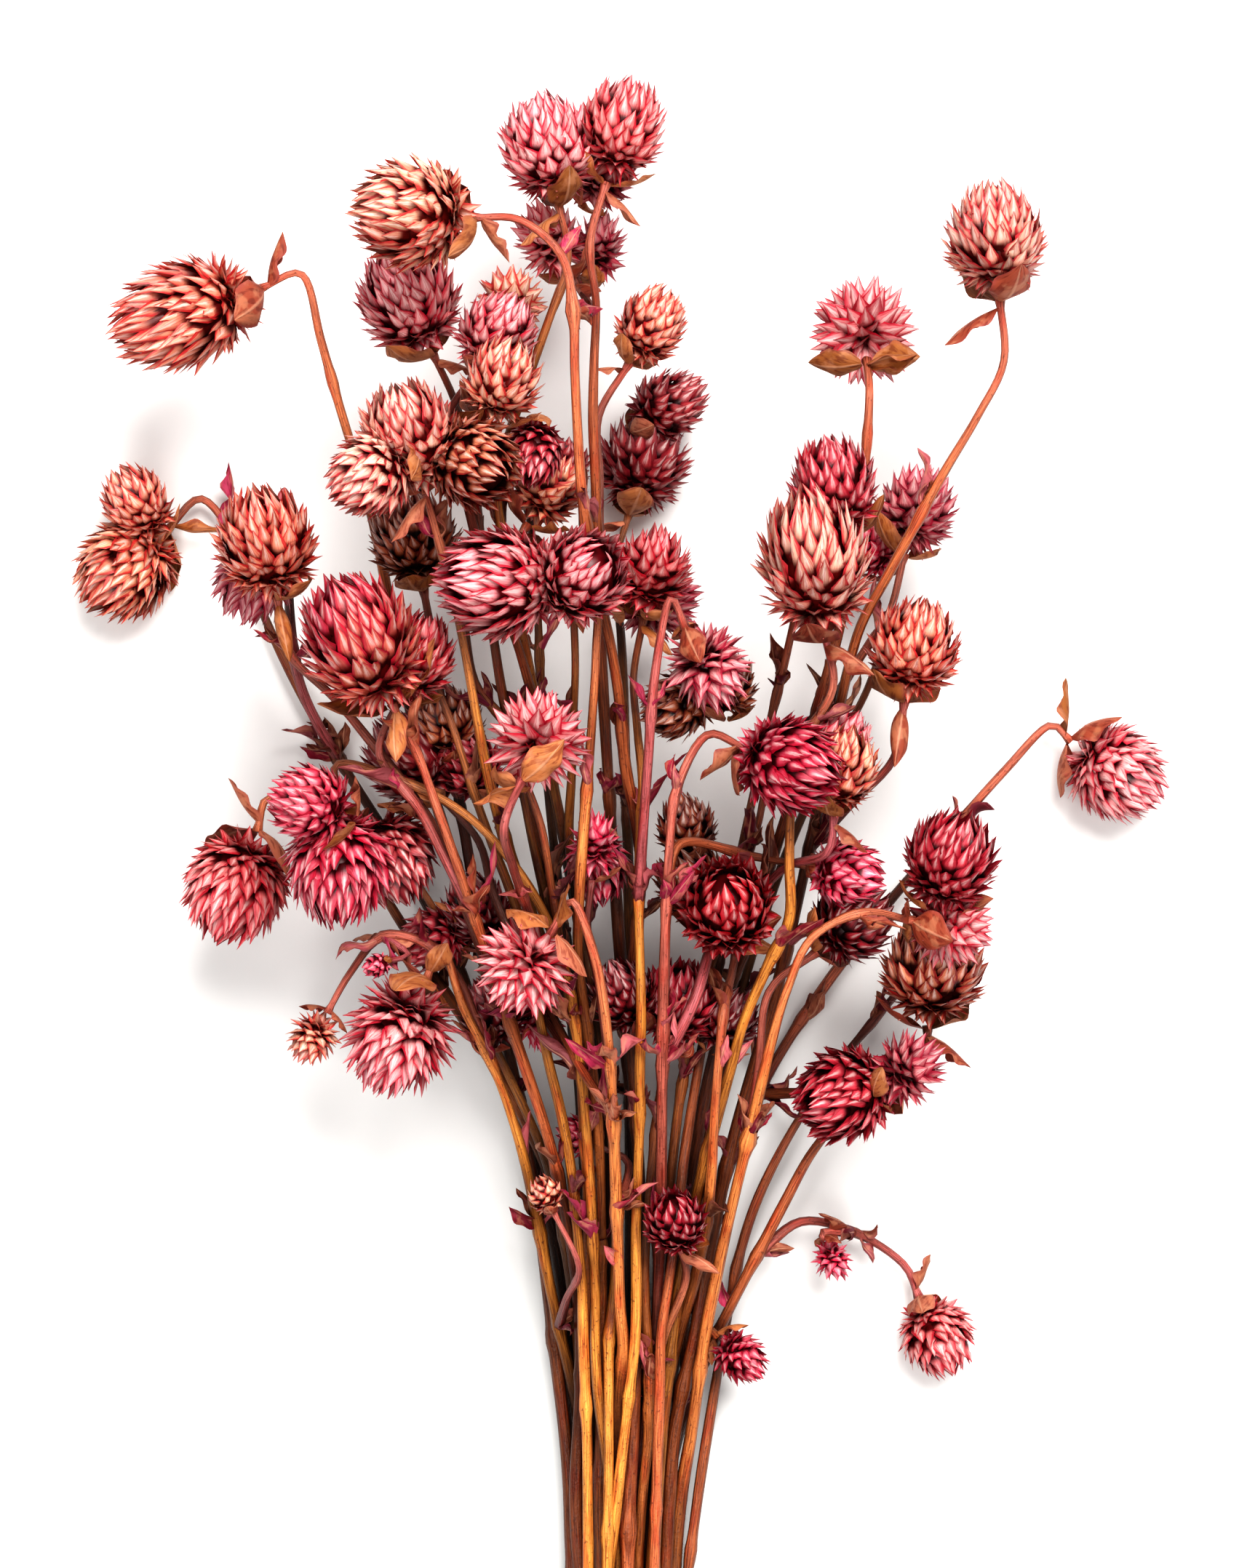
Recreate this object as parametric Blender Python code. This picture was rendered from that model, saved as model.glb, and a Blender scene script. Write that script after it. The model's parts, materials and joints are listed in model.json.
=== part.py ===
"""A bunch of dried globe amaranth, lying on a surface with its cut ends towards -Y."""
import itertools
import math

import bmesh
import bpy
import numpy as np
from mathutils import Matrix, Vector

MM = 0.001

# The whole bunch, in millimetres
CUT_END = -88.0             # the cut ends, below the place where a hand would hold the bunch
GRIP_THICKNESS = 24.0       # depth of the bunch where it is held, at 0 along
BUNCH_THICKNESS = 112.0     # depth of the bunch where the heads are
FULL_THICKNESS_AT = 175.0   # how far above the grip that depth is reached
CENTRE = (-1.5, 110.0)      # middle of the bunch, which becomes the origin
SETTLED = 0.6               # how far the lowest stems and heads are pressed flat by its weight

# The places in the tables are where things are seen from straight above
EYE_HEIGHT = 850.0
DRAWN_HEIGHT = 55.0
EYE_ABOVE = (0.0, 150.0)

# Stems and leaves
STALK_RADIUS = 1.85
BRANCH_RADIUS = 1.3
STEM_TAPER = 0.8            # a stem thins sooner than evenly along its length
NECK_RADIUS = 1.0
STALK_SIDES = 5
BRANCH_SIDES = 4
STEM_STEP = 13.0            # spacing of the points of a stem
STRAIGHT_ENOUGH = 0.25      # a point nearer than this to a straight run is left out
LEAF_THICKNESS = 0.7
SHORT_EDGES = (0.005, 0.03, 0.08)   # tried in turn: shorter edges, left by a union, are closed up
FLAT_ENOUGH = (2.5, 2, 1)   # degrees tried in turn: faces that meet at less become one
CLEARANCE = 0.65            # left between pieces that aren't grown together
SEAT_GAP = 0.35             # left between a stem and the head that it carries
BUD_SINK = 0.8              # how deep a stem runs into the bud that is grown onto it
NECK_LENGTH = 5.0           # the straight end of a stem behind its head
HEAD_END = 0.07             # a head's base is cut off this share of a half turn from its pole
BASE_SHRINK = 0.97          # and drawn in to this share of the full shape
LOWEST_LEAF = 1.0           # no leaf hangs lower than this
LEAF_ROOM = 0.4             # left between a leaf and the stems and heads beside it
LEAF_TURNS = (0, 25, -25, 50, -50, 80, -80, 120, -120, 160)
LEAF_TILTS = (0, 30, -30, 60, -60, 85)
TIP = 999.0                 # in the table of leaves, the end of a stem, right under its head

# How stems and heads make room for each other
ROUNDS = 800
SEARCH_EVERY = 8            # rounds between searches for what is near what
STEM_MOVES = (0.8, 0.8, 1.0)       # how far a stem gives way across, along and upwards
HEAD_MOVES = (0.25, 0.25, 0.6)     # the same for a head, which stays more nearly where it is seen
STEM_RETURN = 0.01          # share of its way back to where it is seen, in each round
HEAD_RETURN = (0.05, 0.05, 0.01)
LOOSE = ("bud", "end")      # clusters whose members are grown onto stems, or are only a stem's end
GROWN_CLOSE = 0.72          # heads of a cluster are nearer than this share of their two radii
GROUND_SINK = 0.93          # the middle of the lowest heads is at this share of their radius

# number, cluster, across, along, radius, length to width, height in the bunch (0 low, 1 high),
# direction the tip points in the plane (degrees from +X), and upwards
HEADS = (
    (1, "heads_top_trio", 3, 298, 10.5, 1.2, 0.55, 75, 0),
    (2, "heads_top_trio", -22, 292, 11.8, 1.1, 0.60, 100, 10),
    (3, "heads_top_trio", -6, 287, 8.7, 1.1, 0.45, 60, -10),
    (4, "head_top_left", -47, 279, 12.9, 1.1, 0.85, 180, 20),
    (5, "heads_top_pair", -17, 276, 8.6, 1.2, 0.55, 120, 0),
    (6, "heads_top_pair", -7, 272, 7.3, 1.3, 0.50, 80, 0),
    (7, "head_upper_left", -47, 260, 12.3, 1.1, 0.60, 115, 20),
    (8, "heads_upper_trio", -31, 251, 9.5, 1.1, 0.60, 60, 10),
    (9, "heads_upper_trio", -22, 260, 8.6, 1.1, 0.45, 90, -30),
    (12, "heads_upper_trio", -28, 241, 9.5, 1.1, 0.62, 70, 10),
    (10, "head_upper_small", 5, 254, 8.4, 1.2, 0.40, 60, 0),
    (11, "head_nodding_left", -97, 257, 13.3, 1.4, 0.40, 200, 10),
    (13, "heads_tucked_trio", -22, 229, 7.3, 1.2, 0.60, 260, 20),
    (19, "heads_tucked_trio", -20, 216, 8.7, 1.1, 0.45, 60, -10),
    (20, "heads_tucked_trio", -13, 224, 6.6, 1.0, 0.38, 80, 0),
    (14, "heads_blush_trio", -48, 230, 11.8, 1.1, 0.80, 105, 25),
    (15, "heads_blush_trio", -56, 222, 9.9, 1.1, 0.85, 215, 10),
    (16, "heads_blush_trio", -34, 224, 11, 1.1, 0.70, 330, 40),
    (17, "heads_dusky_pair", 9, 237, 9.1, 1.2, 0.10, 35, -5),
    (18, "heads_dusky_pair", 3, 223, 11.8, 1.1, -0.01, 75, -5),
    (21, "head_tall_right", 81, 273, 11.8, 1.15, 0.60, 95, 10),
    (22, "head_upper_right", 52, 253, 12.5, 1.0, 0.50, 90, -50),
    (23, "heads_far_left_pair", -107, 215, 8.7, 1.2, 0.06, 120, 10),
    (24, "heads_far_left_pair", -110, 200, 12.5, 1.1, -0.02, 225, 15),
    (25, "heads_left_pair", -78, 210, 12.1, 1.1, 0.75, 100, 25),
    (26, "heads_left_pair", -81, 196, 10.7, 1.1, 0.60, 250, -10),
    (27, "head_dark_left", -47, 207, 11, 1.1, 0.35, 100, 10),
    (28, "heads_magenta_pair", -60, 185, 13.6, 1.25, 0.95, 115, 30),
    (79, "heads_magenta_pair", -47, 179, 9.9, 1.1, 0.75, 70, 10),
    (29, "heads_middle_pair", -28, 198, 13.3, 1.2, 0.85, 180, 35),
    (30, "heads_middle_pair", -10, 199, 11, 1.1, 0.80, 40, 50),
    (31, "heads_rosy_pair", 5, 205, 10.2, 1.1, 0.65, 80, 15),
    (32, "heads_rosy_pair", 6, 190, 9.9, 1.1, 0.60, 10, 10),
    (33, "heads_inner_trio", 16, 179, 10.2, 1.1, 0.65, 300, -20),
    (43, "heads_inner_trio", 26, 177, 7.6, 1.1, 0.50, 90, 0),
    (78, "heads_inner_trio", 7, 169, 8.4, 1.1, 0.40, 200, 0),
    (34, "heads_long_pair", 46, 219, 10.2, 1.2, 0.60, 100, 10),
    (35, "heads_long_pair", 41, 201, 13.3, 1.35, 0.80, 100, 25),
    (36, "heads_back_right_pair", 64, 214, 10.2, 1.1, 0.30, 75, -10),
    (37, "heads_back_right_pair", 55, 205, 7.3, 1.1, 0.30, 120, -10),
    (38, "head_tan_right", 60, 184, 11.3, 1.1, 0.45, 80, 10),
    (39, "head_far_right", 107, 156, 12.1, 1.1, -0.01, 325, 0),
    (40, "heads_hooked_trio", 31, 159, 11.8, 1.1, 0.90, 340, 35),
    (41, "heads_hooked_trio", 48, 152, 8.7, 1.2, 0.62, 80, 10),
    (42, "heads_hooked_trio", 42, 168, 7.9, 1.2, 0.60, 60, 0),
    (44, "head_centre_left", -20, 163, 11.8, 1.0, 0.85, 70, -35),
    (45, "heads_back_left_pair", -36, 155, 7.9, 1.1, 0.50, 120, 10),
    (82, "heads_back_left_pair", -37, 169, 9.2, 1.1, 0.42, 100, 0),
    (46, "heads_back_left_pair", -49, 158, 11, 1.1, 0.45, 130, 0),
    (47, "heads_drooping_trio", -69, 151, 9.5, 1.1, 0.70, 160, 0),
    (48, "heads_drooping_trio", -64, 134, 12.5, 1.15, 0.75, 270, 10),
    (80, "heads_drooping_trio", -50, 139, 11, 1.1, 0.60, 290, 0),
    (49, "head_lower_left", -86, 131, 12.9, 1.1, 0.35, 250, 10),
    (50, "heads_bright_small_pair", -8, 143, 6.5, 1.3, 0.75, 85, 0),
    (51, "heads_bright_small_pair", -7, 131, 7.9, 1.2, 0.75, 275, 10),
    (52, "heads_right_trio", 71, 137, 11.3, 1.1, 0.60, 70, 20),
    (53, "heads_right_trio", 72, 123, 10.2, 1.0, 0.70, 350, -25),
    (54, "heads_right_trio", 66, 109, 12.5, 1.1, 0.45, 85, 10),
    (55, "heads_bright_right_pair", 48, 135, 8.4, 1.1, 0.80, 350, 20),
    (58, "heads_bright_right_pair", 50, 121, 9.9, 1.1, 0.55, 40, 0),
    (56, "heads_front_trio", 27, 124, 11.7, 1.1, 0.95, 100, 60),
    (57, "heads_front_trio", 15, 137, 9.5, 1.1, 0.40, 120, 20),
    (77, "heads_front_trio", 12, 149, 7.6, 1.1, 0.40, 100, 0),
    (59, "heads_lower_right_pair", 47, 85, 11.8, 1.1, 0.75, 200, 35),
    (60, "heads_lower_right_pair", 62, 93, 9.1, 1.1, 0.60, 40, -10),
    (61, "head_front_open", -22, 114, 12.1, 0.9, 0.95, 235, -25),
    (62, "head_hanging", -50, 99, 13.3, 1.1, 0.80, 245, 10),
    (63, "bud", -69, 98, 6.5, 1.1, 0.60, 240, 0),
    (64, "heads_dark_lower_pair", -32, 126, 8.7, 1.1, 0.45, 120, 0),
    (65, "heads_dark_lower_pair", -44, 119, 7.9, 1.1, 0.45, 200, 0),
    (66, "heads_heart_trio", 0, 107, 8.7, 1.1, 0.50, 110, 10),
    (67, "heads_heart_trio", 12, 107, 9.9, 1.1, 0.55, 80, 20),
    (81, "heads_heart_trio", 22, 103, 7.9, 1.1, 0.45, 60, 0),
    (68, "heads_small_lower_pair", -19, 101, 6.1, 1.3, 0.60, 285, 10),
    (76, "heads_small_lower_pair", -28, 104, 8.4, 1.1, 0.45, 120, 0),
    (69, "head_crimson_low", 10, 58, 7.9, 1.1, 0.95, 100, 40),
    (70, "head_low_right", 68, 32, 9.5, 1.1, -0.02, 295, 10),
    (71, "bud", 45, 49, 5, 1.2, 0.30, 290, 0),
    (72, "bud", 24, 28, 6.5, 1.2, 0.60, 320, 10),
    (73, "bud", -2, 19, 5, 1.2, 0.95, 100, 20),
    (74, "bud", -10, 76, 5, 1.2, 0.60, 150, 0),
    (83, "bud", -18, 63, 4.4, 1.1, 0.95, 115, 0),
    (75, "bud", -55, 113, 3.1, 1.2, 0.60, 200, 0),
    (101, "end", -36, 190, 1.2, 1.0, 0.42, 100, 0),
    (103, "end", -24, 158, 1.2, 1.0, 0.50, 110, 0),
    (104, "end", -12, 194, 1.2, 1.0, 0.45, 92, 0),
    (106, "end", 38, 196, 1.2, 1.0, 0.35, 78, 0),
    (107, "end", 57, 186, 1.2, 1.0, 0.15, 70, 0),
    (110, "end", 31, 160, 1.2, 1.0, 0.35, 82, 0),
    (111, "end", -51, 138, 1.2, 1.0, 0.30, 125, 0),
    (113, "end", -22, 215, 1.2, 1.0, 0.30, 98, 0),
    (114, "end", -44, 180, 1.2, 1.0, 0.50, 112, 0),
    (116, "end", 64, 113, 1.2, 1.0, 0.15, 50, 0),
)


# head carried, name of a stalk or number of the stem it branches from, how far along it branches,
# and the places it passes on its way up
STEMS = (
    (11, "stalk_nodding_left", 0,
     ((-13, 30), (-22, 85), (-36, 131), (-48, 166), (-55, 205), (-64, 228), (-72, 250), (-77, 262))),
    (27, 11, 110, ((-40, 160), (-46, 185))),
    (24, "stalk_far_left", 0,
     ((-14, 50), (-27, 90), (-45, 130), (-64, 158), (-78, 184), (-84, 203), (-90, 209), (-95, 208))),
    (26, 24, 160, ((-74, 172),)),
    (28, "stalk_magenta", 0, ((-7, 35), (-14, 70), (-27, 104), (-38, 135), (-46, 155))),
    (25, 28, 100, ((-48, 150), (-66, 190))),
    (79, 28, 120, ((-42, 150),)),
    (14, "stalk_blush", 0,
     ((-3, 60), (-11, 95), (-25, 132), (-31, 150), (-36, 175), (-41, 200), (-46, 215))),
    (44, 14, 112, ((-28, 142),)),
    (4, "stalk_arched", 0,
     ((5, 40), (4, 90), (3, 128), (2, 155), (-1, 180), (-9, 210), (-12, 245), (-13, 270),
      (-20, 283), (-30, 285))),
    (5, 4, 260, ((-13, 266),)),
    (2, "stalk_top", 0, ((-3, 60), (-9, 120), (-20, 180), (-26, 220), (-28, 270))),
    (7, 2, -32, ((-10, 110), (-26, 160), (-33, 200), (-37, 232), (-44, 242))),
    (8, 7, 200, ((-34, 238),)),
    (19, 2, 170, ((-22, 202),)),
    (1, "stalk_top_right", 0, ((2, 60), (-3, 130), (-7, 190), (-9, 230), (-5, 270))),
    (10, 1, 200, ((-6, 236),)),
    (18, "stalk_dusky", 0, ((1, 80), (1, 140), (1, 190))),
    (29, "stalk_middle", 0, ((-5, 60), (-9, 120), (-10, 160), (-12, 184), (-15, 194))),
    (31, 29, -32, ((1, 60), (-2, 110), (-2, 150), (2, 185))),
    (33, 31, 130, ((9, 175), (12, 187))),
    (22, "stalk_upper_right", 0,
     ((12, 50), (18, 90), (30, 130), (40, 165), (47, 195), (50, 225), (51, 240))),
    (36, 22, 160, ((58, 195),)),
    (21, "stalk_tall_right", 0,
     ((15, 45), (24, 85), (38, 125), (50, 165), (62, 195), (71, 220), (79, 238), (82, 250))),
    (38, 21, 140, ((57, 168),)),
    (35, "stalk_long_right", 0, ((14, 60), (22, 100), (32, 140), (40, 172), (42, 180))),
    (39, "stalk_far_right", 0,
     ((15, 45), (26, 80), (38, 100), (55, 122), (72, 140), (84, 152), (94, 161), (98, 162))),
    (54, 39, 80, ((56, 92),)),
    (40, "stalk_hooked", 0,
     ((7, 50), (6, 100), (5, 132), (5, 152), (8, 163), (14, 166), (19, 163))),
    (41, 40, 90, ((28, 135), (42, 143))),
    (55, 40, 121, ((9, 138), (20, 143), (34, 142))),
    (67, 40, -32, ((6, 60), (9, 90))),
    (69, 67, 20, ((6, 42),)),
    (53, "stalk_right", 0, ((18, 45), (27, 80), (33, 105), (40, 122), (50, 127), (60, 124))),
    (58, 53, 75, ((42, 108),)),
    (56, "stalk_front", 0, ((17, 50), (20, 80), (24, 108))),
    (59, "stalk_lower_right", 0, ((22, 35), (30, 55), (38, 72), (50, 80), (56, 88))),
    (70, 59, 42, ((36, 54), (44, 52), (54, 46), (62, 39))),
    (71, 70, 53, ()),
    (72, 59, 10, ((20, 30),)),
    (62, "stalk_hanging", 0, ((-17, 40), (-22, 65), (-31, 87), (-41, 100))),
    (63, 62, 84, ((-42, 112), (-54, 119), (-66, 119), (-72, 111))),
    (75, 63, 119, ()),
    (49, "stalk_lower_left", 0,
     ((-11, 40), (-15, 65), (-26, 88), (-42, 111), (-53, 130), (-64, 141), (-73, 145), (-79, 142))),
    (61, "stalk_front_open", 0, ((-2, 60), (-2, 100), (-6, 122), (-11, 127), (-15, 123))),
    (50, 61, 95, ((-7, 130),)),
    (68, 61, 75, ((-12, 105), (-16, 110))),
    (74, 61, 55, ((-6, 72),)),
    (73, 61, 5, ()),
    (48, 61, -32,
     ((-6, 50), (-10, 105), (-18, 126), (-28, 140), (-40, 147), (-54, 150), (-62, 149))),
    (46, 48, 100, ((-38, 135),)),
    (64, 48, 85, ((-26, 115),)),
    (101, 14, -60, ((-5, 60), (-14, 100), (-27, 150))),
    (103, 49, -60, ((-9, 60), (-16, 100))),
    (104, 29, -50, ((-3, 60), (-6, 100), (-10, 150))),
    (106, 35, -60, ((10, 60), (17, 100), (27, 150))),
    (107, 22, -60, ((12, 60), (22, 100), (36, 145))),
    (110, 56, -60, ((9, 60), (15, 100))),
    (111, 62, -60, ((-13, 60), (-30, 95))),
    (113, 2, -60, ((-6, 60), (-13, 110), (-19, 160))),
    (114, 28, -60, ((-9, 60), (-20, 100), (-33, 140))),
    (116, 53, -60, ((20, 45), (33, 75), (50, 98))),
    (83, 62, 30, ((-14, 46),)),
)

# stem, how far along its root is or TIP, direction it points, length, width
LEAVES = (
    (21, TIP, 190, 13, 6), (22, TIP, 45, 13, 6), (24, TIP, 60, 11, 5), (24, TIP, 290, 14, 6),
    (11, TIP, 60, 11, 6), (25, TIP, 60, 14, 6), (14, TIP, 240, 11, 6), (28, TIP, 280, 10, 6),
    (35, TIP, 315, 11, 7), (38, TIP, 260, 11, 7), (39, TIP, 100, 12, 6), (39, TIP, 255, 11, 7),
    (40, TIP, 235, 10, 6), (41, TIP, 320, 9, 6), (49, TIP, 110, 11, 6), (54, TIP, 320, 11, 7),
    (59, TIP, 20, 10, 6), (70, TIP, 90, 8, 5), (4, TIP, 300, 10, 6), (2, TIP, 200, 10, 6),
    (1, TIP, 330, 10, 5), (5, TIP, 350, 9, 5), (7, TIP, 330, 9, 5), (10, TIP, 170, 7, 4),
    (29, TIP, 290, 11, 6), (31, TIP, 0, 9, 5), (44, TIP, 200, 9, 6), (53, TIP, 60, 9, 5),
    (56, TIP, 350, 10, 6), (61, TIP, 60, 10, 5), (62, TIP, 60, 10, 6), (48, TIP, 120, 9, 5),
    (69, TIP, 330, 9, 5), (19, TIP, 300, 12, 7), (18, TIP, 200, 9, 5), (2, 262, 60, 19, 9),
    (4, 262, 0, 8, 4), (40, 122, 300, 16, 4), (61, 97, 230, 16, 4), (62, 62, 80, 14, 5),
    (67, 22, 40, 14, 4), (53, 76, 70, 13, 4), (24, 160, 200, 10, 4),
    (62, 56, 230, 9, 5), (61, 42, 250, 8, 4), (56, 88, 60, 11, 4),
    (35, 84, 40, 10, 4), (59, 33, 160, 9, 4),
    (14, 84, 150, 9, 4), (22, 70, 30, 9, 4), (40, 60, 340, 10, 4),
)

# colour of each cluster of heads
TONES = {"rose": (0.52, 0.19, 0.22), "magenta": (0.42, 0.07, 0.15), "blush": (0.67, 0.38, 0.33),
         "tan": (0.47, 0.23, 0.15), "dusky": (0.25, 0.09, 0.09)}
CLUSTER_TONES = {"tan": ("head_nodding_left", "heads_far_left_pair", "head_tan_right"),
                 "blush": ("head_top_left", "heads_blush_trio", "head_front_open", "head_tall_right"),
                 "dusky": ("heads_dusky_pair", "head_dark_left", "heads_inner_trio",
                           "heads_back_left_pair", "heads_heart_trio"),
                 "magenta": ("heads_magenta_pair", "heads_drooping_trio", "head_lower_left",
                             "heads_bright_small_pair", "head_crimson_low", "heads_hooked_trio")}
STALK_COLOUR = (0.42, 0.20, 0.08)


def smooth(value):
    value = min(1.0, max(0.0, value))
    return value * value * (3 - 2 * value)


def bunch_thickness(along):
    growth = smooth(along / FULL_THICKNESS_AT)
    return GRIP_THICKNESS + (BUNCH_THICKNESS - GRIP_THICKNESS) * growth


def true_place(across, along, height):
    """Where something is that looks to be at this place when seen from the eye."""
    scale = (EYE_HEIGHT - height) / (EYE_HEIGHT - DRAWN_HEIGHT)
    return (EYE_ABOVE[0] + (across - EYE_ABOVE[0]) * scale,
            EYE_ABOVE[1] + (along - EYE_ABOVE[1]) * scale, height)


def direction(facing, tilt):
    turn, lift = math.radians(facing), math.radians(tilt)
    return np.array((math.cos(turn) * math.cos(lift), math.sin(turn) * math.cos(lift), math.sin(lift)))


def first_heads():
    heads = {}
    for number, cluster, across, along, radius, stretch, lift, facing, tilt in HEADS:
        height = radius + lift * max(0.0, bunch_thickness(along) - 2 * radius)
        gap = -BUD_SINK if cluster == "bud" else SEAT_GAP
        heads[number] = {"cluster": cluster, "centre": np.array(true_place(across, along, height)),
                         "radius": radius, "half": radius * stretch, "gap": gap,
                         "axis": direction(facing, tilt)}
    return heads


def head_base(head, centre):
    """The end of the stem that carries a head."""
    depth = head["half"] * BASE_SHRINK * math.cos(math.pi * HEAD_END)
    return centre - head["axis"] * (depth + head["gap"])


def grip_slots(count):
    """Places for the stalks where they are held, packed as round rods pack in a flat oval."""
    pitch = 2 * STALK_RADIUS + CLEARANCE + 0.4
    flatness = 1.9
    slots = []
    for row in range(-4, 5):
        for column in range(-7, 8):
            x = (column + 0.5 * (row % 2)) * pitch
            z = row * pitch * math.sqrt(3) / 2
            slots.append((x * x / flatness + z * z, x, z))
    slots.sort()
    return np.array([(x, z) for _, x, z in slots[:count]])


def share_slots(wanted, slots):
    """Give each stalk a slot on its own side, so that the stalks fan out without crossing."""
    def miss(stalk, slot):
        return np.sum((wanted[stalk] - slots[slot]) ** 2)

    order = list(range(len(wanted)))
    better = True
    while better:
        better = False
        for a in range(len(order)):
            for b in range(a + 1, len(order)):
                now = miss(a, order[a]) + miss(b, order[b])
                if miss(a, order[b]) + miss(b, order[a]) < now - 1e-9:
                    order[a], order[b] = order[b], order[a]
                    better = True
    return [slots[slot] for slot in order]


def rounded(points):
    """Cut the corners of a route twice, which keeps its ends."""
    for _ in range(2):
        near, far = points[:-1], points[1:]
        cut = np.empty((2 * len(near), 3))
        cut[0::2] = near * 0.75 + far * 0.25
        cut[1::2] = near * 0.25 + far * 0.75
        cut[0], cut[-1] = points[0], points[-1]
        points = cut
    return points


def evenly_spaced(points, spacing):
    steps = np.linalg.norm(np.diff(points, axis=0), axis=1)
    along = np.concatenate(([0.0], np.cumsum(steps)))
    count = max(3, int(round(along[-1] / spacing)) + 1)
    wanted = np.linspace(0, along[-1], count)
    return np.column_stack([np.interp(wanted, along, points[:, axis]) for axis in range(3)])


def add_stem(stems, heads, number, parent, place, via, start):
    """The first route of one stem, from its start through the places it passes to its head."""
    head = heads[number]
    tip = head_base(head, head["centre"])
    neck = tip - head["axis"] * NECK_LENGTH
    foot = start[-1]
    reach = max(1.0, math.hypot(tip[0] - foot[0], tip[1] - foot[1]))
    route = list(start)
    for across, along in via:
        share = smooth(math.hypot(across - foot[0], along - foot[1]) / reach)
        route.append(true_place(across, along, foot[2] + (neck[2] - foot[2]) * share))
    route.extend([tuple(neck), tuple(tip)])
    points = evenly_spaced(rounded(np.array(route)), STEM_STEP)
    thick = BRANCH_RADIUS if parent else STALK_RADIUS
    thin = NECK_RADIUS if head["cluster"] == "end" else min(NECK_RADIUS, 0.11 * head["radius"] + 0.2)
    radii = thick + (thin - thick) * np.linspace(0, 1, len(points)) ** STEM_TAPER
    stems[number] = {"points": points, "radii": radii, "parent": parent, "place": place}


def first_stems(heads):
    mains = [row for row in STEMS if isinstance(row[1], str)]
    wanted = []
    for number, _, _, via in mains:
        centre = heads[number]["centre"]
        sideways = via[0][0] + 0.15 * centre[0]
        upwards = 0.18 * (centre[2] - DRAWN_HEIGHT)
        wanted.append((sideways, upwards))
    slots = share_slots(np.array(wanted), grip_slots(len(mains)))
    lowest = min(slot[1] for slot in slots) - STALK_RADIUS
    stems = {}
    for (number, _, _, via), slot in zip(mains, slots):
        height = slot[1] - lowest
        start = [(slot[0], CUT_END, height), (slot[0], -50.0, height), (slot[0] * 1.02, -8.0, height)]
        add_stem(stems, heads, number, 0, 0, via, start)
    waiting = [row for row in STEMS if not isinstance(row[1], str)]
    while waiting:
        for row in [row for row in waiting if row[1] in stems]:
            number, parent, leaves_at, via = row
            points = stems[parent]["points"]
            place = int(np.argmin(np.abs(points[:, 1] - leaves_at)))
            place = min(max(place, 2), len(points) - 2)
            add_stem(stems, heads, number, parent, place, via, [tuple(points[place])])
            waiting.remove(row)
    return stems


def root_of(stems, number):
    while stems[number]["parent"]:
        number = stems[number]["parent"]
    return number


def head_ties(heads):
    """Heads grown against each other: each head of a cluster with the nearest one before it."""
    ties = []
    numbers = list(heads)
    for index, number in enumerate(numbers):
        head = heads[number]
        mates = [other for other in numbers[:index]
                 if heads[other]["cluster"] == head["cluster"] not in LOOSE]
        if mates:
            gaps = [np.linalg.norm(heads[other]["centre"] - head["centre"]) for other in mates]
            ties.append((number, mates[int(np.argmin(gaps))]))
    return ties


def nearest(p1, p2, q1, q2):
    """The nearest places on pairs of segments, as shares of their lengths."""
    run, other, offset = p2 - p1, q2 - q1, p1 - q1
    a = np.einsum("ij,ij->i", run, run) + 1e-9
    e = np.einsum("ij,ij->i", other, other) + 1e-9
    b = np.einsum("ij,ij->i", run, other)
    c = np.einsum("ij,ij->i", run, offset)
    f = np.einsum("ij,ij->i", other, offset)
    spread = a * e - b * b
    s = np.where(spread > 1e-9, np.clip((b * f - c * e) / np.maximum(spread, 1e-9), 0, 1), 0.5)
    t = (b * s + f) / e
    s = np.where(t < 0, np.clip(-c / a, 0, 1), np.where(t > 1, np.clip((b - c) / a, 0, 1), s))
    return s, np.clip(t, 0, 1)


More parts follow.
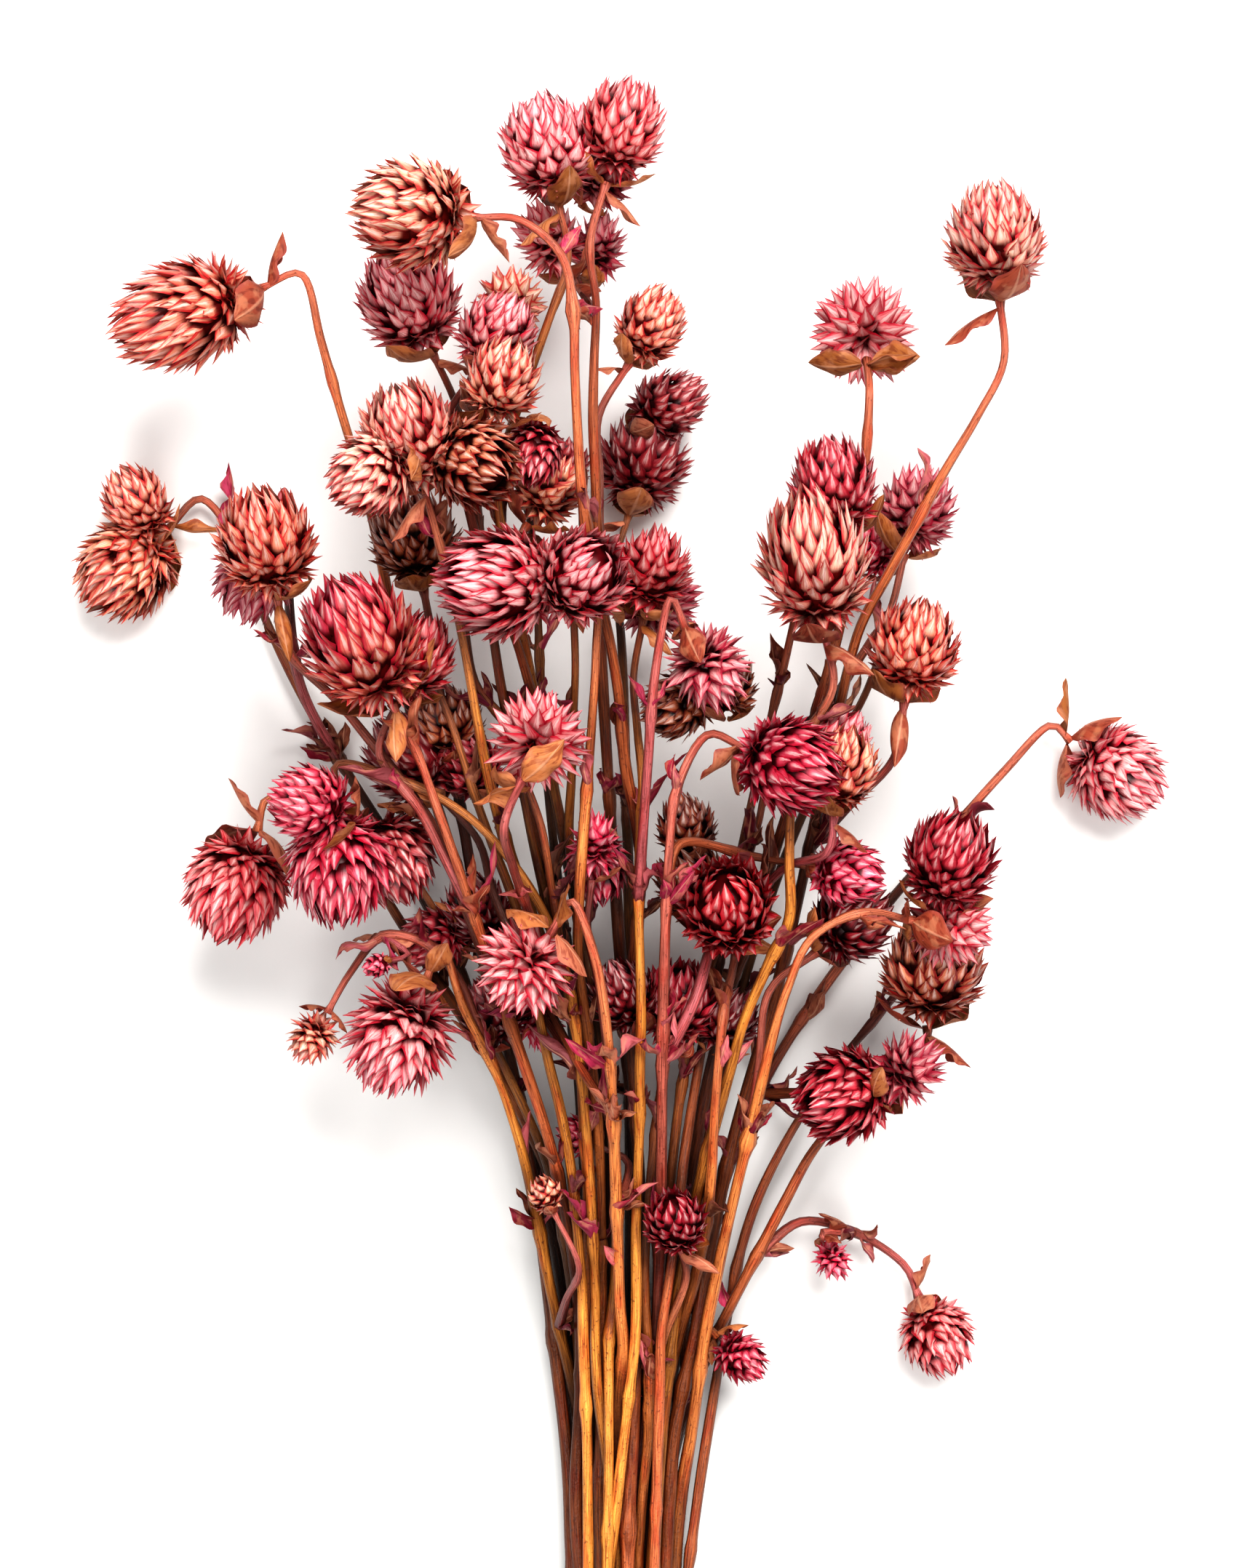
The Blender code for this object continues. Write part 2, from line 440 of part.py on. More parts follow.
class Rods:
    """Every stretch of stem and every head as a rod with round ends, for finding what touches."""

    def __init__(self, heads, stems):
        self.stem_names, self.head_names = list(stems), list(heads)
        self.starts, self.head_rows = {}, {}
        points, radii, pairs = [], [], []
        for index, number in enumerate(self.stem_names):
            rows = stems[number]["points"]
            self.starts[number] = len(points)
            for step in range(len(rows) - 1):
                pairs.append((len(points) + step, len(points) + step + 1, index,
                              root_of(stems, number), step, len(rows) - 2, number))
            points.extend(rows)
            radii.extend(stems[number]["radii"])
        self.stem_points, self.stem_rods = len(points), len(pairs)
        clusters = {}
        for index, number in enumerate(self.head_names):
            head = heads[number]
            inner = head["axis"] * max(0.1, head["half"] - head["radius"])
            group = 2000 + index
            if head["cluster"] not in LOOSE:
                group = 5000 + clusters.setdefault(head["cluster"], len(clusters))
            self.head_rows[number] = len(points)
            pairs.append((len(points), len(points) + 1, 1000 + index, group, 0, -1, number))
            points.extend([head["centre"] - inner, head["centre"] + inner])
            radii.extend([head["radius"]] * 2)
        self.points, self.radii = np.array(points), np.array(radii)
        (self.low, self.high, self.owner, self.group, self.step, self.last,
         self.head) = np.array(pairs).T

    def near_pairs(self):
        """Pairs of rods near enough to touch soon, apart from those that are grown together."""
        middle = (self.points[self.low] + self.points[self.high]) / 2
        half = np.linalg.norm(self.points[self.low] - self.points[self.high], axis=1) / 2
        reach = half + np.maximum(self.radii[self.low], self.radii[self.high])
        a, b = np.triu_indices(len(middle), 1)
        near = np.linalg.norm(middle[a] - middle[b], axis=1) - reach[a] - reach[b] < 4.0
        a, b = a[near], b[near]
        stem_a, stem_b = a < self.stem_rods, b < self.stem_rods
        same_group = self.group[a] == self.group[b]
        by_fork = (self.step[a] < 3) | (self.step[b] < 3) | (self.owner[a] == self.owner[b])
        forked = stem_a & stem_b & same_group & by_fork
        fused = ~stem_a & ~stem_b & same_group
        seated = (stem_a != stem_b) & (self.head[a] == self.head[b]) & np.where(
            stem_a, self.step[a] >= self.last[a] - 1, self.step[b] >= self.last[b] - 1)
        keep = ~(forked | fused | seated)
        return a[keep], b[keep]

    def part_rods(self, a, b, weight):
        """Push apart the rods that touch."""
        p1, p2 = self.points[self.low[a]], self.points[self.high[a]]
        q1, q2 = self.points[self.low[b]], self.points[self.high[b]]
        s, t = nearest(p1, p2, q1, q2)
        apart = p1 + (p2 - p1) * s[:, None] - q1 - (q2 - q1) * t[:, None]
        distance = np.linalg.norm(apart, axis=1)
        need = (self.radii[self.low[a]] * (1 - s) + self.radii[self.high[a]] * s
                + self.radii[self.low[b]] * (1 - t) + self.radii[self.high[b]] * t + CLEARANCE)
        hit = need > distance
        push = apart[hit] * ((need - distance) / np.maximum(distance, 1e-6))[hit, None]
        a, b, s, t = a[hit], b[hit], s[hit], t[hit]
        move, shares = np.zeros_like(self.points), np.zeros(len(self.points))
        for rows, share, sign in ((self.low[a], 1 - s, 1), (self.high[a], s, 1),
                                  (self.low[b], 1 - t, -1), (self.high[b], t, -1)):
            np.add.at(move, rows, push * (share * sign)[:, None])
            np.add.at(shares, rows, share)
        self.points += 0.9 * move / np.maximum(shares, 1.0)[:, None] * weight


def settle(heads, stems):
    """Let stems and heads make room for each other, each staying near where it is seen."""
    rods = Rods(heads, stems)
    home = rods.points.copy()
    count = rods.stem_points
    weight = np.empty((len(home), 3))
    weight[:count], weight[count:] = STEM_MOVES, HEAD_MOVES
    ties = head_ties(heads)
    for turn in range(ROUNDS):
        if turn % SEARCH_EVERY == 0:
            a, b = rods.near_pairs()
        rods.part_rods(a, b, weight)
        rods.part_rods(a, b, weight)
        easing = 1.0 - turn / ROUNDS
        points = rods.points
        back = (home - points) * easing
        points[:count] += back[:count] * STEM_RETURN
        points[count:] += back[count:] * np.array(HEAD_RETURN)
        for number in rods.stem_names:
            stem, head = stems[number], heads[number]
            low = rods.starts[number]
            rows, rest = points[low:low + len(stem["points"])], home[low:low + len(stem["points"])]
            bend = (rows[:-2] + rows[2:] - rest[:-2] - rest[2:]) / 2 - rows[1:-1] + rest[1:-1]
            rows[1:-1] += (0.02 + 0.33 * easing) * bend
            row = rods.head_rows[number]
            rows[-1] = head_base(head, (points[row] + points[row + 1]) / 2)
            rows[-2] = rows[-1] - head["axis"] * np.linalg.norm(rest[-1] - rest[-2])
            if stem["parent"]:
                rows[0] = points[rods.starts[stem["parent"]] + stem["place"]]
            else:
                rows[:2] = rest[:2]
        for one, other in ties:
            row, mate = rods.head_rows[one], rods.head_rows[other]
            link = (points[row] + points[row + 1] - points[mate] - points[mate + 1]) / 2
            length = np.linalg.norm(link)
            most = GROWN_CLOSE * (heads[one]["radius"] + heads[other]["radius"])
            if length > most:
                pull = link / length * (length - most) / 2
                points[row:row + 2] -= pull
                points[mate:mate + 2] += pull
        for number in rods.head_names:
            head, row = heads[number], rods.head_rows[number]
            centre = (points[row] + points[row + 1]) / 2
            centre[2] = max(centre[2], head["radius"] * GROUND_SINK)
            inner = head["axis"] * max(0.1, head["half"] - head["radius"])
            points[row], points[row + 1] = centre - inner, centre + inner
        points[:count, 2] = np.maximum(points[:count, 2], rods.radii[:count])
        rods.points = np.round(points, 4)
    for number in rods.stem_names:
        low = rods.starts[number]
        stems[number]["points"] = rods.points[low:low + len(stems[number]["points"])].copy()
    for number in rods.head_names:
        row = rods.head_rows[number]
        heads[number]["centre"] = (rods.points[row] + rods.points[row + 1]) / 2


def leaf_way(facing, tilt, grow, at_tip):
    """The way a leaf leaves its stem: outwards and back under a head, or up along a stem."""
    way = direction(facing, tilt)
    way = way - grow * np.dot(way, grow) * (1.0 if at_tip else 0.6)
    way = way - grow * (0.22 if at_tip else -1.1)
    return way / np.linalg.norm(way)


def leaf_line(root, way, bend, length):
    """The middle of a leaf that leaves its stem one way and curls towards another."""
    return np.array([root + way * length * share + bend * length * 0.35 * share * share
                     for share in (0.0, 0.5, 1.0)])


def leaf_room(foot, line, nearby):
    """The distance from a leaf to the nearest rod, given as two ends and a radius in a row."""
    count = len(nearby)
    p1 = np.repeat(np.array([foot, line[1]]), count, 0)
    p2 = np.repeat(line[1:], count, 0)
    rods = np.tile(nearby, (2, 1))
    q1, q2 = rods[:, :3], rods[:, 3:6]
    s, t = nearest(p1, p2, q1, q2)
    between = p1 + (p2 - p1) * s[:, None] - q1 - (q2 - q1) * t[:, None]
    return (np.linalg.norm(between, axis=1) - rods[:, 6]).min()


def place_leaves(heads, stems):
    """Each leaf of the table, turned until it is clear of the stems and heads beside it."""
    rods = Rods(heads, stems)
    wide = np.maximum(rods.radii[rods.low], rods.radii[rods.high])
    solid = np.column_stack([rods.points[rods.low], rods.points[rods.high], wide])
    is_stem = np.arange(len(solid)) < rods.stem_rods
    leaves, placed = [], []
    for number, along, facing, length, width in LEAVES:
        points = stems[number]["points"]
        at_tip = along == TIP
        place = len(points) - 1 if at_tip else int(np.argmin(np.abs(points[:, 1] - along)))
        grow = points[place] - points[place - 1]
        grow = grow / np.linalg.norm(grow)
        root = points[place] - grow * (0.9 if at_tip else 0.0)
        curl = -grow if at_tip else np.array((0.0, 0.0, -1.0))
        own_stems = is_stem & (rods.group == root_of(stems, number))
        own_head = ~is_stem & (rods.head == number)
        nearby = solid.copy()
        nearby[own_head, 6] -= 0.35 * width
        nearby = np.vstack([nearby[~own_stems]] + placed)
        for turn, tilt in itertools.product(LEAF_TURNS, LEAF_TILTS):
            way = leaf_way(facing + turn, tilt, grow, at_tip)
            line = leaf_line(root, way, curl, length)
            foot = root + way * (stems[number]["radii"][place] + 0.9)
            room = leaf_room(foot, line, nearby) - 0.36 * width
            if room > LEAF_ROOM and line[:, 2].min() > LOWEST_LEAF:
                leaves.append({"stem": number, "line": line, "width": width, "grow": grow,
                               "at_tip": at_tip})
                placed.append(np.hstack([(line[0] + line[1]) / 2, line[2], 0.4 * width])[None])
                break
    return leaves


def straightened(points, radii):
    """Leave out the points of a stem that lie on a straight run."""
    keep = [0]
    while keep[-1] < len(points) - 1:
        first = keep[-1]
        last = first + 1
        while last + 1 < len(points):
            run = points[last + 1] - points[first]
            between = points[first + 1:last + 1] - points[first]
            off = np.linalg.norm(np.cross(between, run / np.linalg.norm(run)), axis=1)
            if off.max() > STRAIGHT_ENOUGH:
                break
            last += 1
        keep.append(last)
    return points[keep], radii[keep]


def tube_mesh(points, radii, sides):
    """Corners and faces of a closed tube along a route."""
    runs = np.diff(points, axis=0)
    runs /= np.linalg.norm(runs, axis=1)[:, None]
    ways = np.vstack([runs[:1], (runs[:-1] + runs[1:]) / 2, runs[-1:]])
    side = np.cross(ways[0], (0.0, 0.0, 1.0))
    corners = []
    for point, way, radius in zip(points, ways, radii):
        way = way / np.linalg.norm(way)
        side = side - way * np.dot(side, way)
        side /= np.linalg.norm(side)
        across = np.cross(way, side)
        for step in range(sides):
            turn = 2 * math.pi * step / sides
            corners.append(point + radius * (side * math.cos(turn) + across * math.sin(turn)))
    faces = []
    for ring in range(len(points) - 1):
        for step in range(sides):
            here, there = ring * sides + step, ring * sides + (step + 1) % sides
            faces.append((here, there, there + sides, here + sides))
    faces.append(tuple(reversed(range(sides))))
    faces.append(tuple(range((len(points) - 1) * sides, len(points) * sides)))
    return corners, faces


def head_mesh(radius, half):
    """Corners and faces of a head of pointed scales that overlap towards its tip, along +Z.

    Low points form staggered rings, and each four of them carry one scale with a raised tip.
    """
    around = 6 if radius > 8.2 else 5
    rings = 5 if radius > 11.5 else 4
    valley, overlap = 0.86, 0.62
    corners, faces = [], []

    def place(step, ring, scale):
        turn = 2 * math.pi * step / around
        polar = math.pi * (HEAD_END + (1 - 2 * HEAD_END) * ring / rings)
        reach = radius * math.sin(polar) * scale
        corners.append((reach * math.cos(turn), reach * math.sin(turn), -half * math.cos(polar) * scale))
        return len(corners) - 1

    low = [[place(step + 0.5 * (ring % 2), ring, valley if 0 < ring < rings else BASE_SHRINK)
            for step in range(around)] for ring in range(rings + 1)]
    for ring in range(1, rings):
        for step in range(around):
            following = (step + 1) % around
            between = (step + ring % 2) % around
            left, right = low[ring][step], low[ring][following]
            bottom, top = low[ring - 1][between], low[ring + 1][between]
            tip = place(step + 0.5 + 0.5 * (ring % 2), ring + overlap, 1.0)
            faces.extend([(bottom, right, tip), (right, top, tip), (top, left, tip), (left, bottom, tip)])
    peak = len(corners)
    corners.append((0.0, 0.0, half))
    for step in range(around):
        following = (step + 1) % around
        between = (step + rings % 2) % around
        faces.append((low[1][step], low[0][step], low[0][following]))
        faces.append((low[rings - 1][between], low[rings][following], low[rings][step]))
        faces.append((low[rings][step], low[rings][following], peak))
    faces.append(tuple(reversed(low[0])))
    return corners, faces


def leaf_mesh(leaf):
    """Corners and faces of one blade, four corners to a section."""
    line, width = leaf["line"], leaf["width"]
    corners, faces = [], []
    for index, (point, share) in enumerate(zip(line, (0.35, 1.0, 0.16))):
        run = line[min(index + 1, 2)] - line[max(index - 1, 0)]
        run /= np.linalg.norm(run)
        flat = np.cross(run, leaf["grow"] if leaf["at_tip"] else np.cross(run, leaf["grow"]) + 1e-6)
        flat /= np.linalg.norm(flat)
        up = np.cross(run, flat)
        for across, over in ((-1, -1), (1, -1), (1, 1), (-1, 1)):
            corners.append(point + flat * across * share * width / 2 + up * over * LEAF_THICKNESS / 2)
    for ring in range(2):
        for step in range(4):
            here, there = ring * 4 + step, ring * 4 + (step + 1) % 4
            faces.append((here, there, there + 4, here + 4))
    faces.append((3, 2, 1, 0))
    faces.append((8, 9, 10, 11))
    return corners, faces


def make_object(name, corners, faces):
    """A closed object in metres, with the middle of the bunch moved to the origin."""
    middle = np.array((CENTRE[0], CENTRE[1], SETTLED))
    mesh = bpy.data.meshes.new(name)
    mesh.from_pydata([tuple((np.array(corner) - middle) * MM) for corner in corners], [], faces)
    thing = bpy.data.objects.new(name, mesh)
    bpy.context.scene.collection.objects.link(thing)
    shape = bmesh.new()
    shape.from_mesh(mesh)
    bmesh.ops.recalc_face_normals(shape, faces=shape.faces)
    shape.to_mesh(mesh)
    shape.free()
    return thing


def fuse(name, pieces):
    """Join the pieces that grew together into one object, and press it flat where it lies."""
    base = pieces[0]
    if len(pieces) > 1:
        others = bpy.data.collections.new(name + "_grown_on")
        bpy.context.scene.collection.children.link(others)
        for piece in pieces[1:]:
            bpy.context.scene.collection.objects.unlink(piece)
            others.objects.link(piece)
        union = base.modifiers.new("grown together", "BOOLEAN")
        union.operation = "UNION"
        union.solver = "MANIFOLD"
        union.operand_type = "COLLECTION"
        union.collection = others
        bpy.context.view_layer.update()
        depsgraph = bpy.context.evaluated_depsgraph_get()
        joined = bpy.data.meshes.new_from_object(base.evaluated_get(depsgraph))
        base.modifiers.clear()
        base.data = joined
        for piece in pieces[1:]:
            bpy.data.objects.remove(piece)
        bpy.data.collections.remove(others)
    shape = bmesh.new()
    shape.from_mesh(base.data)
    if min(corner.co.z for corner in shape.verts) < 0:
        everything = shape.verts[:] + shape.edges[:] + shape.faces[:]
        cut = bmesh.ops.bisect_plane(shape, geom=everything, plane_co=(0, 0, 0), plane_no=(0, 0, 1),
                                     clear_inner=True)
        rim = [item for item in cut["geom_cut"] if isinstance(item, bmesh.types.BMEdge)]
        bmesh.ops.contextual_create(shape, geom=rim)
    for short_edge, flat_enough in itertools.product(SHORT_EDGES, FLAT_ENOUGH):
        tidy = shape.copy()
        bmesh.ops.remove_doubles(tidy, verts=tidy.verts, dist=short_edge * MM)
        bmesh.ops.dissolve_limit(tidy, angle_limit=math.radians(flat_enough), verts=tidy.verts,
                                 edges=tidy.edges)
        bmesh.ops.triangulate(tidy, faces=tidy.faces)
        same_corners = {}
        for face in tidy.faces:
            same_corners.setdefault(frozenset(face.verts), []).append(face)
        folded = [face for faces in same_corners.values() if len(faces) > 1 for face in faces]
        bmesh.ops.delete(tidy, geom=folded, context="FACES")
        tidy.to_mesh(base.data)
        whole = all(edge.is_manifold for edge in tidy.edges)
        tidy.free()
        if whole:
            break
    shape.free()
    base.name = name
    base.data.name = name
    return base


def dress(thing, colour, roughness):
    material = bpy.data.materials.new(thing.name)
    material.use_nodes = True
    surface = material.node_tree.nodes["Principled BSDF"]
    surface.inputs["Base Color"].default_value = (*colour, 1.0)
    surface.inputs["Roughness"].default_value = roughness
    surface.inputs["Metallic"].default_value = 0.0
    thing.data.materials.clear()
    thing.data.materials.append(material)


def head_object(head):
    corners, faces = head_mesh(head["radius"], head["half"])
    turn = Vector((0, 0, 1)).rotation_difference(Vector(head["axis"])).to_matrix()
    corners = [np.array(turn @ Vector(corner)) + head["centre"] for corner in corners]
    return make_object("head", corners, faces)


def build_heads(heads):
    clusters = {}
    for head in heads.values():
        if head["cluster"] not in LOOSE:
            clusters.setdefault(head["cluster"], []).append(head)
    for name, members in clusters.items():
        thing = fuse(name, [head_object(head) for head in members])
        tone = next((tone for tone, names in CLUSTER_TONES.items() if name in names), "rose")
        dress(thing, TONES[tone], 0.8)


def build_stalks(heads, stems, leaves):
    for carried, name, _, _ in STEMS:
        if not isinstance(name, str):
            continue
        pieces = []
        for number, stem in stems.items():
            if root_of(stems, number) != carried:
                continue
            points, radii = straightened(stem["points"], stem["radii"])
            sides = BRANCH_SIDES if stem["parent"] else STALK_SIDES
            pieces.append(make_object("stem", *tube_mesh(points, radii, sides)))
            if heads[number]["cluster"] == "bud":
                pieces.append(head_object(heads[number]))
            for leaf in leaves:
                if leaf["stem"] == number:
                    pieces.append(make_object("leaf", *leaf_mesh(leaf)))
        dress(fuse(name, pieces), STALK_COLOUR, 0.7)


def main():
    for thing in list(bpy.data.objects):
        bpy.data.objects.remove(thing)
    heads = first_heads()
    stems = first_stems(heads)
    settle(heads, stems)
    leaves = place_leaves(heads, stems)
    build_stalks(heads, stems, leaves)
    build_heads(heads)


main()
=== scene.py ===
"""A bunch of dried globe amaranth lying on a pale surface, its cut ends towards the viewer."""
import itertools
import json
import math

import bpy
import numpy as np
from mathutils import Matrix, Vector

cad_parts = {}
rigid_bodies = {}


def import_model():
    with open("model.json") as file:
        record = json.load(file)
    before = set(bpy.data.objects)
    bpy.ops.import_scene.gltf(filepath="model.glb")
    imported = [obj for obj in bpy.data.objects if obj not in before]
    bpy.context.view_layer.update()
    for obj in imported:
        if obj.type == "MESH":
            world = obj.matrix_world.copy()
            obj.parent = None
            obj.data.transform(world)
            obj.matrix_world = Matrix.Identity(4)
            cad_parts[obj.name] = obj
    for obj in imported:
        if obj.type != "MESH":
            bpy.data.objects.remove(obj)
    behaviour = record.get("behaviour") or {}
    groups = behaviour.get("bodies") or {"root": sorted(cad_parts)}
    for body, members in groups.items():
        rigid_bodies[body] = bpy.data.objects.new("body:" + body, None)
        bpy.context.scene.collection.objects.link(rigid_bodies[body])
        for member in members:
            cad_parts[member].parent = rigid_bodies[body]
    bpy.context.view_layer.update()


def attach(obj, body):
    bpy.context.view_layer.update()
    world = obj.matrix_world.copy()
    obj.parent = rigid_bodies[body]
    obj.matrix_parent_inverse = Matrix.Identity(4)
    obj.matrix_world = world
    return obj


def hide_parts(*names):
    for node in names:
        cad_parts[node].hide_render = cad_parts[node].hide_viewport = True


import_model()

# How the bunch lies
#
# About sixty stems are gathered into a bunch and fan out from where it is held. They bend round
# each other and carry the heads, which rest against their neighbours at many heights. All sizes
# are in millimetres, with 0 along at the place where the bunch is held.

# The whole bunch, in millimetres
CUT_END = -88.0             # the cut ends, below the place where the bunch is held
GRIP_THICKNESS = 24.0       # heights in the tables are shares of this depth where it is held
BUNCH_THICKNESS = 112.0     # and of this depth where the heads are
FULL_THICKNESS_AT = 175.0   # how far above the grip that depth is reached
CENTRE = (-1.5, 110.0)      # middle of the bunch, which becomes the origin
SETTLED = 0.6               # how far the lowest stems and heads are pressed flat by its weight

# The places in the tables are where things are seen from straight above
EYE_HEIGHT = 850.0
DRAWN_HEIGHT = 55.0
EYE_ABOVE = (0.0, 150.0)

# The stalks where they are held
SLOT_ROOM = 0.4             # room between stalks, besides their clearance
GRIP_FLATNESS = 1.9         # the square of how much wider than deep the bunch is there
STRAIGHT_AT = (-50.0, -8.0)         # the stalks run straight up to these places along the bunch
SPREAD_THERE = 1.02         # and begin to spread by this share at the second
TOWARDS_HEAD = (0.15, 0.18)         # how far a stalk's slot follows its head, across and upwards

# Stems, and the heads at their ends
STALK_RADIUS = 1.85
BRANCH_RADIUS = 1.3
STEM_TAPER = 0.8            # a stem thins sooner than evenly along its length
NECK_RADIUS = 1.0
END_RADIUS = 1.2            # room at a hidden end
STEM_STEP = 13.0            # spacing of the points of a stem
CLEARANCE = 0.65            # left between pieces that aren't grown together
SEAT_GAP = 0.35             # left between a stem and the head that it carries
BUD_SINK = 0.8              # how deep a stem runs into the bud that is grown onto it
NECK_LENGTH = 5.0           # the straight end of a stem behind its head
HEAD_END = 0.07             # a head's base is cut off this share of a half turn from its pole
BASE_SHRINK = 0.97          # and drawn in to this share of the full shape

# How stems and heads make room for each other
ROUNDS = 800
SEARCH_EVERY = 8            # rounds between searches for what is near what
NEARBY = 4.0                # things this close may touch before the next search
PUSH = 0.9                  # share of an overlap that is cleared at once
STIFFNESS = (0.02, 0.33)    # how much a stem straightens in the last round, and more in the first
STEM_MOVES = (0.8, 0.8, 1.0)       # how far a stem gives way across, along and upwards
HEAD_MOVES = (0.25, 0.25, 0.6)     # the same for a head, which stays more nearly where it is seen
STEM_RETURN = 0.01          # share of its way back to where it is seen, in each round
HEAD_RETURN = (0.05, 0.05, 0.01)
LOOSE = ("bud", "end")      # clusters whose members are grown onto stems, or are only a stem's end
GROWN_CLOSE = 0.72          # heads of a cluster are nearer than this share of their two radii
GROUND_SINK = 0.93          # the middle of the lowest heads is at this share of their radius

